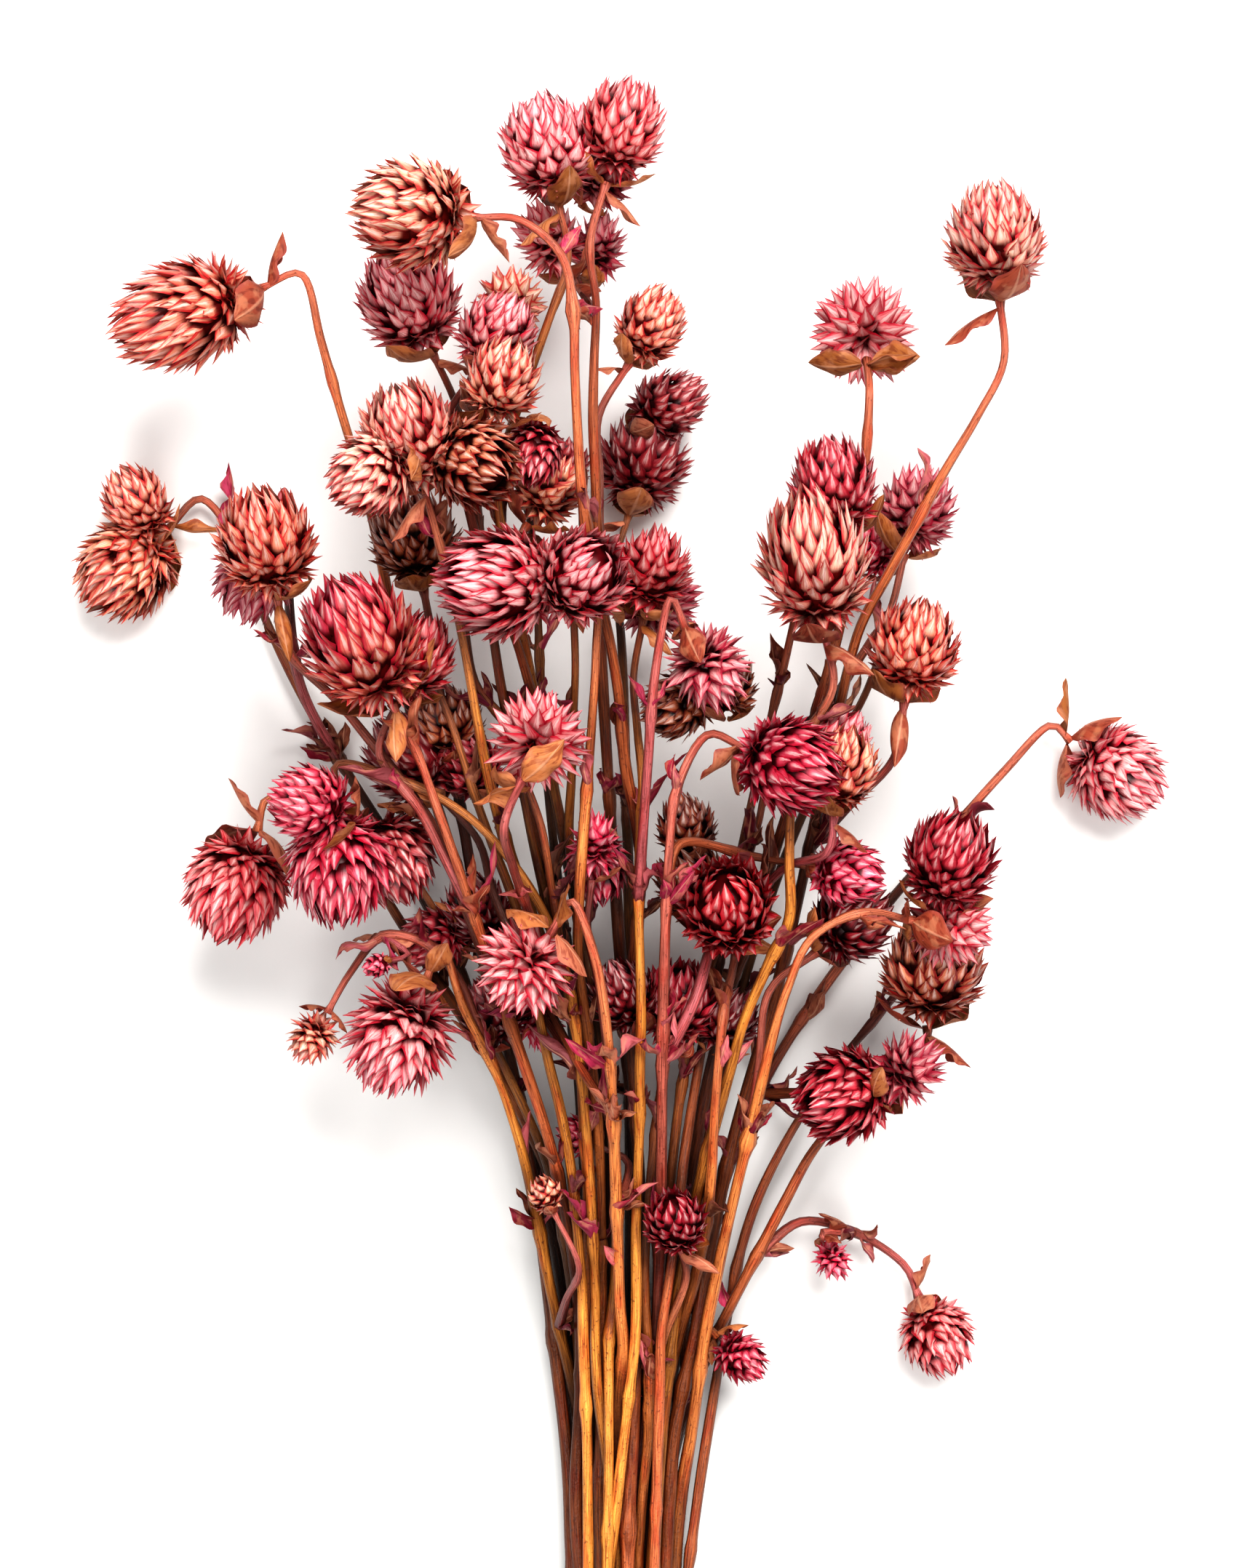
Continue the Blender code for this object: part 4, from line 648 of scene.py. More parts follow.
# Painted shade: what stems and heads above a place of a stem take of its light, which darkens its colour
COVER_STEP = 4.0
COVER_REACH = 6.5
BELL_AREA = 1.77            # the area under exp(-x * x)
STEM_SHADE = 0.45
HEAD_SHADE = 0.9
LEAST_LIGHT = 0.03


def linear(red, green, blue):
    """A colour as it is seen, in 0 to 255, turned into the light that it reflects."""
    seen = np.array((red, green, blue)) / 255
    return np.where(seen < 0.04045, seen / 12.92, ((seen + 0.055) / 1.055) ** 2.4)


def finer(points, radii, spacing):
    """A smooth line through the points of a stem, with its radius at each place."""
    ends = np.vstack([2 * points[0] - points[1], points, 2 * points[-1] - points[-2]])
    line, wide = [], []
    for index in range(len(points) - 1):
        a, b, c, d = ends[index:index + 4]
        steps = max(2, int(round(np.linalg.norm(c - b) / spacing)))
        for step in range(steps):
            t = step / steps
            line.append(0.5 * (2 * b + (c - a) * t + (2 * a - 5 * b + 4 * c - d) * t * t
                               + (3 * b - a - 3 * c + d) * t ** 3))
            wide.append(radii[index] * (1 - t) + radii[index + 1] * t)
    line.append(points[-1])
    wide.append(radii[-1])
    return np.array(line), np.array(wide)


def frames_along(line):
    """Two directions across a line at each of its points, which don't twist about it."""
    runs = np.gradient(line, axis=0)
    runs /= np.linalg.norm(runs, axis=1)[:, None]
    side = np.cross(runs[0], (0.0, 0.0, 1.0))
    sides = []
    for run in runs:
        side = side - run * np.dot(side, run)
        side /= np.linalg.norm(side)
        sides.append(side)
    sides = np.array(sides)
    return sides, np.cross(runs, sides)


def grid_faces(rows, columns, start=0, closed=False):
    """Quads between the points of a grid that is stored row by row."""
    faces = []
    for row in range(rows - 1):
        for column in range(columns if closed else columns - 1):
            here = start + row * columns + column
            there = start + row * columns + (column + 1) % columns
            faces.append((here, there, there + columns, here + columns))
    return faces


def make_piece(name, places, faces, material, uv=None, **attributes):
    """A smooth mesh in metres whose points carry a place on their part and some colours."""
    mesh = bpy.data.meshes.new(name)
    places = np.asarray(places) - middle
    places[:, 2] = np.maximum(places[:, 2], PRESSED)
    mesh.from_pydata((places * 0.001).tolist(), [], faces)
    mesh.polygons.foreach_set("use_smooth", [True] * len(mesh.polygons))
    if uv is not None:
        corners = np.empty(len(mesh.loops), dtype=int)
        mesh.loops.foreach_get("vertex_index", corners)
        mesh.uv_layers.new(name="place").data.foreach_set("uv", np.asarray(uv)[corners].ravel())
    for key, values in attributes.items():
        values = np.asarray(values, dtype=float)
        if values.ndim == 1:
            mesh.attributes.new(key, "FLOAT", "POINT").data.foreach_set("value", values)
        else:
            full = np.column_stack([values, np.ones(len(values))])
            mesh.attributes.new(key, "FLOAT_COLOR", "POINT").data.foreach_set("color", full.ravel())
    mesh.materials.append(material)
    thing = bpy.data.objects.new(name, mesh)
    bpy.context.scene.collection.objects.link(thing)
    return thing


class Value:
    """What a shader node gives, with Python's operators for arithmetic on it."""

    def __init__(self, finish, socket):
        self.finish, self.socket = finish, socket

    def calculated(self, operation, first, second):
        return self.finish.node("ShaderNodeMath", {"operation": operation}, {0: first, 1: second})

    def __add__(self, other):
        return self.calculated("ADD", self, other)

    def __radd__(self, other):
        return self.calculated("ADD", other, self)

    def __sub__(self, other):
        return self.calculated("SUBTRACT", self, other)

    def __rsub__(self, other):
        return self.calculated("SUBTRACT", other, self)

    def __mul__(self, other):
        return self.calculated("MULTIPLY", self, other)

    def __rmul__(self, other):
        return self.calculated("MULTIPLY", other, self)

    def __abs__(self):
        return self.calculated("ABSOLUTE", self, 0.0)


class Finish:
    """A material that is being made, with what its shader is fed."""

    def __init__(self, name, **constants):
        self.material = bpy.data.materials.new(name)
        self.material.use_nodes = True
        self.tree = self.material.node_tree
        self.surface = self.tree.nodes["Principled BSDF"]
        for key, value in constants.items():
            self.surface.inputs[key.replace("_", " ")].default_value = value

    def node(self, kind, settings=None, sockets=None, output=0):
        made = self.tree.nodes.new(kind)
        for key, value in (settings or {}).items():
            setattr(made, key, value)
        for key, value in (sockets or {}).items():
            self.feed(made.inputs[key], value)
        return Value(self, made.outputs[output])

    def feed(self, socket, value):
        if isinstance(value, Value):
            self.tree.links.new(value.socket, socket)
        elif isinstance(value, (tuple, list, np.ndarray)):
            socket.default_value = (*value, 1.0) if socket.type == "RGBA" else tuple(value)
        else:
            socket.default_value = value

    def carried(self, name, output="Color"):
        """A value or colour that the mesh carries."""
        return self.node("ShaderNodeAttribute", {"attribute_name": name}, output=output)

    def eased(self, value, low, high):
        """From 0 below low to 1 above high."""
        return self.node("ShaderNodeMapRange", {"interpolation_type": "SMOOTHSTEP"},
                         {"Value": value, "From Min": low, "From Max": high})

    def mixed(self, share, first, second, blend="MIX"):
        return self.node("ShaderNodeMix", {"data_type": "RGBA", "blend_type": blend},
                         {0: share, 6: first, 7: second}, 2)

    def noise(self, vector, scale, detail=3.0):
        return self.node("ShaderNodeTexNoise", {}, {"Vector": vector, "Scale": scale, "Detail": detail})

    def stretched(self, vector, scale):
        return self.node("ShaderNodeVectorMath", {"operation": "MULTIPLY"}, {0: vector, 1: scale})

    def joined(self, *parts):
        return self.node("ShaderNodeCombineXYZ", {}, dict(enumerate(parts)))

    def on_sheet(self):
        """Where a place is on its bract or leaf, from 0 to 1: across it and up it."""
        place = self.node("ShaderNodeUVMap", {"uv_map": "place"})
        across = self.node("ShaderNodeSeparateXYZ", {}, {0: place})
        return across, Value(self, across.socket.node.outputs[1])

    def multiplied(self, colour, other):
        return self.mixed(1.0, colour, other, "MULTIPLY")

    def bumpy(self, height, strength, distance):
        bump = self.node("ShaderNodeBump", {}, {"Strength": strength, "Distance": distance,
                                                "Height": height})
        self.feed(self.surface.inputs["Normal"], bump)

    def wear(self, **looks):
        for key, value in looks.items():
            self.feed(self.surface.inputs[key.replace("_", " ")], value)
        return self.material


def make_stem_finish():
    finish = Finish("dry_stem", Metallic=0.0, Specular_IOR_Level=0.45)
    colour, grain = finish.carried("tone"), finish.carried("grain", "Vector")
    streaks = finish.noise(finish.stretched(grain, (1.0, 1.0, 0.05)), 2.6, 4.0)
    patches = finish.noise(finish.stretched(grain, (0.3, 0.3, 0.10)), 1.0)
    specks = finish.noise(finish.stretched(grain, (0.8, 0.8, 0.75)), 1.7, 2.0)
    # Pale streaks are painted highlights. Dark streaks are partly the stem's own darker streaks and
    # partly painted shade.
    streak_and_shade = 1.0 - finish.eased(streaks, 0.36, 0.50)
    highlight_streaks = finish.eased(streaks, 0.52, 0.64)
    streak_shade_colour = finish.multiplied(colour, (0.34, 0.20, 0.16))
    highlight_colour = finish.multiplied(colour, (1.55, 1.55, 1.50))
    colour = finish.mixed(streak_and_shade * 0.75, colour, streak_shade_colour)
    colour = finish.mixed(highlight_streaks * 0.8, colour, highlight_colour)
    reddened = finish.multiplied(colour, (0.90, 0.50, 0.45))
    colour = finish.mixed(finish.eased(patches, 0.50, 0.66) * 0.7, colour, reddened)
    colour = finish.mixed(finish.eased(specks, 0.62, 0.72) * 0.7, colour, (0.09, 0.025, 0.015))
    finish.bumpy(streaks + specks * 0.6, 0.6, 0.0004)
    return finish.wear(Base_Color=colour, Roughness=0.30 + streaks * 0.25)


# The colours of stalks, of branches and of the thin ends of both; a stem draws one by chance
GOLDEN, CARAMEL, COPPER = linear(214, 146, 72), linear(212, 134, 78), linear(180, 104, 66)
ROSEWOOD, PINKISH, MAUVE = linear(170, 94, 82), linear(186, 106, 92), linear(174, 94, 100)
STALK_TONES = (GOLDEN, GOLDEN, CARAMEL, COPPER)
BRANCH_TONES = (ROSEWOOD, MAUVE, PINKISH, COPPER)
END_TONES = (PINKISH, PINKISH, MAUVE)
PITH = (0.80, 0.62, 0.40)
SEEN_ALONE = {11: linear(204, 120, 66), 21: linear(188, 108, 62), 22: linear(196, 116, 82),
              24: linear(178, 102, 52), 39: linear(188, 106, 78), 40: linear(182, 102, 88)}
PAINTED_SIDE_LIGHT = 0.48           # painted shade: how bright the sides of a stem are painted, next to its top
REDDENING = np.array((1.0, 1.12, 1.30))     # painted: shaded places are painted redder, as light that stems pass on between them turns redder
stem_finish = make_stem_finish()
stem_lines = [finer(stem["points"], stem["radii"], COVER_STEP)[0] for stem in stems.values()]
stem_places = np.vstack(stem_lines)
stem_owner = np.repeat(list(stems), [len(line) for line in stem_lines])
head_places = np.array([head["centre"] for head in heads.values()])
head_sizes = np.array([head["radius"] for head in heads.values()])


def light_on(line, number):
    """How much light falls on each place of a stem, past the stems and heads above it, as a share that
    its colour is painted darker by.
    """
    gaps = np.hypot(*np.moveaxis(line[:, None, :2] - stem_places[None, :, :2], 2, 0))
    above = (stem_places[None, :, 2] > line[:, None, 2] + 2.0) & (stem_owner != number)[None]
    stems_above = (np.exp(-(gaps / COVER_REACH) ** 2) * above).sum(1)
    stems_above = stems_above * COVER_STEP / (BELL_AREA * COVER_REACH)
    gaps = np.hypot(*np.moveaxis(line[:, None, :2] - head_places[None, :, :2], 2, 0)) - 0.7 * head_sizes
    above = head_places[None, :, 2] > line[:, None, 2] + head_sizes
    heads_above = (np.exp(-(np.maximum(gaps, 0) / COVER_REACH) ** 2) * above).sum(1)
    covered = STEM_SHADE * stems_above + HEAD_SHADE * heads_above
    return LEAST_LIGHT + (1 - LEAST_LIGHT) * np.exp(-covered)


def joints_of(number, line):
    """Where a stem has joints: where branches leave it, and at even stretches between."""
    run = lengths_along(line)
    draw = np.random.default_rng(500 + number)
    first = draw.uniform(0.4, 1.0) * JOINT_SPACING
    places = list(np.arange(first, run[-1] - 12.0, JOINT_SPACING * draw.uniform(0.8, 1.2)))
    for stem in stems.values():
        if stem["parent"] == number:
            gaps = np.linalg.norm(line - stem["points"][0], axis=1)
            places.append(run[int(np.argmin(gaps))])
    return places


def stem_mesh(number):
    """Places, rings, tones with their painted shade, and grain of one stem, from its foot to the head
    that it carries.
    """
    stem, head = stems[number], heads[number]
    points = stem["points"].copy()
    points[-1] = points[-1] + head["axis"] * (head["gap"] + 0.4 if head["gap"] > 0 else 0.0)
    line, wide = finer(points, stem["radii"], RING_STEP)
    run = lengths_along(line)
    draw = np.random.default_rng(number)
    wide = wide * (1 + UNEVEN * np.sin(run / UNEVEN_LENGTH + draw.uniform(0, 6)))
    for place in joints_of(number, line):
        wide = wide * (1 + JOINT_SWELLING * np.exp(-((run - place) / JOINT_LENGTH) ** 2))
    thinner = np.clip(1 - (run[-1] - run) / THIN_LENGTH, 0, 1)
    wide = wide * (1 - THINNED * thinner)
    flare = np.clip(1 - (run[-1] - run) / SOCKET_LENGTH, 0, 1)
    wide = wide * (1 + FLARED * flare ** 2)
    sides, ups = frames_along(line)
    turns = 2 * math.pi * np.arange(RING_SIDES) / RING_SIDES
    twist = run[:, None] * RIDGE_TWIST + draw.uniform(0, 6)
    ridges = 1 + RIDGE_HEIGHT * np.cos(RIDGES * turns[None] + twist)
    reach = (wide[:, None] * ridges)[:, :, None]
    rings = line[:, None] + reach * (sides[:, None] * np.cos(turns)[None, :, None]
                                     + ups[:, None] * np.sin(turns)[None, :, None])
    share = thinner ** 1.3 * draw.uniform(0.45, 1.0)
    choices = BRANCH_TONES if stem["points"][0][1] > BRANCHES_ABOVE else STALK_TONES
    low = choices[draw.integers(4)] * draw.uniform(1.05, 1.3)
    low = SEEN_ALONE.get(number, low)
    high = END_TONES[draw.integers(3)]
    tone = low[None] * (1 - share[:, None]) + high[None] * share[:, None]
    # Painted shade: the sides and underside of a stem, and places under other stems and heads, are
    # painted darker and redder.
    upward = np.clip((rings[:, :, 2] - line[:, None, 2]) / wide[:, None], 0, 1) ** 0.8
    light = light_on(line, number)[:, None] * (PAINTED_SIDE_LIGHT + (1 - PAINTED_SIDE_LIGHT) * upward)
    tone = (tone[:, None] * light[:, :, None] ** REDDENING).reshape(-1, 3)
    grain = np.stack(np.broadcast_arrays(np.cos(turns) * 2.0, np.sin(turns) * 2.0,
                                         run[:, None] + 40.0 * number), axis=-1)
    return rings.reshape(-1, 3), len(line), tone, grain.reshape(-1, 3)


def build_stalk(name, carried):
    """One stalk with its branches, as one piece."""
    places, faces, tones, grains = [], [], [], []
    start = 0
    for number in stems:
        if root_of(stems, number) != carried:
            continue
        rings, count, tone, grain = stem_mesh(number)
        faces.extend(grid_faces(count, RING_SIDES, start, closed=True))
        last = start + (count - 1) * RING_SIDES
        faces.append(tuple(range(last, last + RING_SIDES)))
        inner = rings[:RING_SIDES] * 0.62 + rings[:RING_SIDES].mean(0) * 0.38
        rim = start + len(rings)
        for step in range(RING_SIDES):
            following = (step + 1) % RING_SIDES
            faces.append((start + following, start + step, rim + step, rim + following))
        faces.append(tuple(reversed(range(rim, rim + RING_SIDES))))
        places.extend([rings, inner])
        tones.extend([tone, np.tile(PITH, (RING_SIDES, 1))])
        grains.extend([grain, grain[:RING_SIDES] * 0.5])
        start = rim + RING_SIDES
    piece = make_piece("stems_" + name, np.vstack(places), faces, stem_finish,
                       tone=np.vstack(tones), grain=np.vstack(grains))
    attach(piece, "root")
    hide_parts(name)


for carried, name, _, _ in STEMS:
    if isinstance(name, str):
        build_stalk(name, carried)

# Flower heads
#
# Each head is a globe of stiff, papery, pointed bracts, keeled like small boats, that open
# outwards in a spiral round a hard centre. They are pale on their faces and redder at their edges,
# with a painted highlight along each keel and painted shade down at their roots and on the centre.

BRACTS_ON_LARGEST = 225     # on a head of the radius below; smaller heads have fewer
LARGEST_RADIUS = 13.2
BRACT_WIDTH = 4.5
CENTRE_SHARE = 0.64         # the hard centre, as a share of the head's radius
LEAN = 0.58                 # how far round the head a bract leans from root to tip, in radians
LOOSE_BELOW = 1.75          # from here to the stem the bracts stand out further, in radians
OPENED = {5: 0.7, 6: 0.8, 31: 0.3, 32: 0.6, 33: 0.8, 50: 0.9, 60: 0.8, 62: 0.4, 63: 0.8, 68: 0.8,
          71: 0.8, 72: 0.3, 73: 0.8}      # how far the loosest heads have come open
GOLDEN_TURN = math.pi * (3 - math.sqrt(5))
BRACT_ROWS = 8
BRACT_COLUMNS = np.array((-1.0, -0.55, 0.0, 0.55, 1.0))

# The colours of the bracts of a head: their faces and edges, and at their roots a dark colour that
# paints the shade between them and also marks spots
PALETTES = {
    "pink": ((252, 178, 178), (184, 18, 52), (98, 6, 20)),
    "blush": ((253, 200, 176), (188, 40, 54), (108, 16, 18)),
    "peach": ((254, 200, 168), (194, 52, 54), (112, 22, 18)),
    "mauve": ((240, 144, 150), (156, 18, 54), (84, 6, 22)),
    "rose": ((248, 144, 142), (180, 16, 44), (96, 6, 14)),
    "dark_rose": ((222, 82, 96), (146, 8, 36), (72, 4, 12)),
    "bright": ((252, 138, 160), (202, 16, 68), (112, 4, 28)),
    "magenta": ((232, 96, 120), (164, 6, 46), (84, 2, 18)),
    "crimson": ((234, 98, 104), (176, 6, 36), (80, 2, 10)),
    "wine": ((168, 40, 54), (100, 6, 20), (44, 2, 8)),
    "terracotta": ((248, 164, 136), (184, 38, 44), (100, 14, 14)),
    "tan": ((248, 180, 144), (180, 44, 46), (94, 16, 14)),
    "chestnut": ((232, 152, 118), (136, 20, 24), (60, 6, 6)),
    "dusky": ((192, 76, 80), (124, 14, 32), (58, 4, 12)),
    "brown": ((198, 116, 80), (98, 18, 16), (38, 6, 6)),
    "ripe": ((236, 142, 116), (178, 26, 56), (100, 12, 16)),
}
# The colour near the top of some heads, and how strong it is. On the others it is the colour of
# the edges, and faint.
APEX = {"ripe": ((212, 36, 96), 1.1), "rose": ((234, 106, 120), 0.75),
        "magenta": ((208, 34, 78), 0.75), "dark_rose": ((198, 44, 72), 0.75),
        "pink": ((244, 146, 162), 0.75), "mauve": ((222, 104, 126), 0.75)}
FAINT = 0.25


def make_bract_finish():
    finish = Finish("papery_bracts", Metallic=0.0, Specular_IOR_Level=0.6)
    side, up = finish.on_sheet()
    across = abs(side * 2.0 - 1.0)
    face, edge, root = finish.carried("face"), finish.carried("edge"), finish.carried("root")
    seed = finish.carried("seed", "Fac")
    veins = finish.noise(finish.joined(side * 7.0, up * 0.9, seed * 61.0), 2.2)
    spots = finish.noise(finish.joined(side, up, seed * 37.0), 3.2, 2.0)
    rim = finish.eased(across + (veins - 0.5) * 0.5, 0.52, 0.86)
    tip = finish.eased(up + (veins - 0.5) * 0.3, 0.86, 1.02)
    streak = finish.eased(veins, 0.53, 0.62)
    # Painted highlight: a near-white stripe along the keel of each bract, towards its tip.
    keel_highlight = (1.0 - finish.eased(across, 0.10, 0.42)) * finish.eased(up, 0.45, 0.70)
    colour = finish.mixed(keel_highlight * 0.55, face, finish.mixed(0.65, face, (1.0, 0.93, 0.88)))
    colour = finish.mixed(streak * 0.5, colour, edge)
    colour = finish.mixed(rim * 0.95, colour, edge)
    colour = finish.mixed(tip * 0.45, colour, edge)
    # Dark spots in the root colour, then painted shade: the lower part of each bract, deep among the
    # others, is painted in the dark root colour.
    colour = finish.mixed(finish.eased(spots, 0.60, 0.75) * 0.3, colour, root)
    colour = finish.mixed(1.0 - finish.eased(up, 0.26, 0.56), colour, root)
    finish.bumpy(veins, 0.35, 0.00025)
    return finish.wear(Base_Color=colour, Roughness=0.30 + veins * 0.22)


bract_finish = make_bract_finish()


def turned_to(axis):
    """The matrix that turns +Z to a head's axis."""
    return np.array(Vector((0, 0, 1)).rotation_difference(Vector(axis)).to_matrix())


def bract_sheets(radius, half, opened, draw):
    """The points of every bract of a head along +Z, and how far each is from the tip of the head.

    An opened head, which is seen from below, has fewer and longer bracts.
    """
    # Where each bract ends: how far from the tip of the head, and around it
    count = int(round(BRACTS_ON_LARGEST * (radius / LARGEST_RADIUS) ** 1.3 * (1 - 0.45 * opened)))
    height = 1 - 2 * ((np.arange(count) + 0.5) / count) ** 1.2
    index = np.arange(count)[height > -0.94]
    height = height[height > -0.94]
    count = len(index)
    polar = np.arccos(height) + draw.normal(0, 0.05, count)
    around = index * GOLDEN_TURN + draw.normal(0, 0.08, count)

    # The middle of each bract, from its root near the hard centre out to its end
    loose = np.clip((polar - LOOSE_BELOW) / 0.9, 0, 1)
    reach = draw.uniform(0.90, 1.04, count)
    lean = LEAN * (1 - 0.55 * np.maximum(loose, opened)) * draw.uniform(0.75, 1.3, count)
    up = np.linspace(0, 1, BRACT_ROWS)
    foot = np.minimum(polar + lean, math.radians(172))
    angle = foot[:, None] + (polar - foot)[:, None] * up[None]
    low = (CENTRE_SHARE * (1 - 0.55 * opened) - 0.12 * loose)[:, None]
    out = low + (reach[:, None] - low) * (0.66 * up + 0.34 * up ** 4)[None]
    sweep = around[:, None] + draw.normal(0, 0.08, count)[:, None] * up[None]
    size = np.array((radius, radius, half))
    line = np.stack([np.sin(angle) * np.cos(sweep), np.sin(angle) * np.sin(sweep), np.cos(angle)], -1)
    line = line * out[:, :, None] * size

    # The directions across each bract and outwards from it, turned a little by chance
    run = np.gradient(line, axis=1)
    run /= np.linalg.norm(run, axis=2)[:, :, None]
    across = np.stack([-np.sin(sweep), np.cos(sweep), np.zeros_like(sweep)], -1)
    outer = np.cross(across, run)
    outward = np.sign(np.sum(outer[:, 4] * line[:, 4], -1))
    outer = outer * np.where(outward == 0, 1, outward)[:, None, None]
    turn = draw.normal(0, 0.28, count)[:, None, None]
    across, outer = (across * np.cos(turn) + outer * np.sin(turn),
                     outer * np.cos(turn) - across * np.sin(turn))

    # Its width, greatest halfway and drawn to a point, folded along the middle and rippled
    width = BRACT_WIDTH * (radius / LARGEST_RADIUS) ** 0.45 * draw.uniform(0.85, 1.12, count)
    width = width * (0.80 + 0.20 * np.clip(polar / 1.2, 0, 1)) * (1 - 0.12 * loose + 0.25 * opened)
    taper = np.where(up < 0.5, 0.62 + 0.38 * np.sin(up / 0.5 * math.pi / 2),
                     np.clip(1 - ((up - 0.5) / 0.5) ** 1.35, 0.03, 1))
    half_width = (width[:, None] * taper[None] / 2)[:, :, None, None]
    columns = BRACT_COLUMNS[None, None, :, None]
    fold = draw.uniform(0.20, 0.70, count)[:, None, None, None]
    ripple = draw.normal(0, 0.12, (count, BRACT_ROWS, len(BRACT_COLUMNS), 1)) * np.abs(columns)
    sheets = (line[:, :, None] + across[:, :, None] * columns * half_width * (1 - 0.18 * fold)
              + outer[:, :, None] * half_width * (0.25 - fold * np.abs(columns) ** 1.2 + ripple))
    return sheets, polar


def centre_mesh(radius, half):
    """The hard centre that the bracts stand on."""
    rings, sides = 7, 10
    places = []
    for ring in range(rings):
        angle = math.pi * (0.04 + 0.92 * ring / (rings - 1))
        for side in range(sides):
            turn = 2 * math.pi * side / sides
            places.append((radius * math.sin(angle) * math.cos(turn),
                           radius * math.sin(angle) * math.sin(turn), -half * math.cos(angle)))
    faces = grid_faces(rings, sides, closed=True)
    faces.append(tuple(reversed(range(sides))))
    faces.append(tuple(range((rings - 1) * sides, rings * sides)))
    return np.array(places), faces


def head_parts(number):
    """Places, faces, places on the bract, and colours of one head."""
    head = heads[number]
    draw = np.random.default_rng(1000 + number)
    radius, half = head["radius"], head["half"]
    opened = max(float(np.clip(-head["axis"][2] / 0.6, 0, 1)), OPENED.get(number, 0.0))
    sheets, polar = bract_sheets(radius, half, opened, draw)
    count, rows, columns = sheets.shape[:3]
    seen = PALETTES[head["palette"]]
    seen_apex, strength = APEX.get(head["palette"], (seen[1], FAINT))
    face, edge, root, apex = (linear(*colour) for colour in (*seen, seen_apex))
    share = np.clip(1.2 - polar / 1.1, 0, 1)[:, None] * draw.uniform(0.3, 0.9, (count, 1)) * strength
    light = draw.uniform(0.60, 1.06, (count, 1))
    aged = draw.uniform(0, 0.28, (count, 1)) ** 1.3
    tips = sheets[:, -1, 2] / radius
    flushed = np.sin(tips @ draw.normal(0, 1.6, 3) + draw.uniform(0, 6))[:, None]
    aged = aged + 0.42 * np.clip(flushed, 0, 1)
    faces_colour = ((face * (1 - aged) + edge * aged) * (1 - share) + apex * share) * light
    edges_colour = edge * draw.uniform(0.8, 1.15, (count, 1))
    # Painted shade, and spots: the dark root colour of each bract. The hard centre is painted in the
    # palette's root colour too.
    root_shade_and_spot_colour = root * draw.uniform(0.45, 0.85, (count, 1))
    seeds = draw.uniform(0, 1, count)
    per_bract = rows * columns
    faces = [quad for index in range(count) for quad in grid_faces(rows, columns, index * per_bract)]
    uv = np.tile(np.stack(np.meshgrid((BRACT_COLUMNS + 1) / 2, np.linspace(0, 1, rows)), -1)
                 .reshape(-1, 2), (count, 1))
    share = CENTRE_SHARE * (1 - 0.55 * opened)
    inside, inside_faces = centre_mesh(radius * share, half * share)
    faces += [tuple(corner + count * per_bract for corner in corners) for corners in inside_faces]
    places = np.vstack([sheets.reshape(-1, 3), inside]) @ turned_to(head["axis"]).T + head["centre"]
    extra = len(inside)
    return (places, faces, np.vstack([uv, np.tile((0.5, 0.0), (extra, 1))]),
            *(np.vstack([np.repeat(colour, per_bract, 0), np.tile(root, (extra, 1))])
              for colour in (faces_colour, edges_colour, root_shade_and_spot_colour)),
            np.concatenate([np.repeat(seeds, per_bract), np.zeros(extra)]))


def build_heads(name, numbers):
    """The heads of one cluster, as one piece."""
    gathered, faces, start = [], [], 0
    for number in numbers:
        places, own_faces, *rest = head_parts(number)
        faces += [tuple(corner + start for corner in corners) for corners in own_faces]
        gathered.append((places, *rest))
        start += len(places)
    places, uv, face, edge, root, seed = (np.concatenate(parts) for parts in zip(*gathered))
    return make_piece(name, places, faces, bract_finish, uv, face=face, edge=edge, root=root, seed=seed)


clusters = {}
for number, head in heads.items():
    if head["cluster"] != "end":
        clusters.setdefault(head["cluster"], []).append(number)
for name, numbers in clusters.items():
    piece = build_heads("bracts_of_" + name + ("s" if name == "bud" else ""), numbers)
    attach(piece, "root")
    if name == "bud":
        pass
    else:
        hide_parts(name)

# Withered leaves
#
# Thin leaves left at the joints of the stems and right under some heads. They have dried into
# folded, twisted strips, magenta to crimson on the stems and brown under the heads.

TIP = 999.0                 # stands for the end of a stem, right under its head
LOWEST_LEAF = 1.0           # no leaf hangs lower than this
LEAF_ROOM = 0.4             # left between a leaf and the stems and heads beside it
LEAF_TURNS = (0, 25, -25, 50, -50, 80, -80, 120, -120, 160)     # tried in turn, in degrees
LEAF_TILTS = (0, 30, -30, 60, -60, 85)

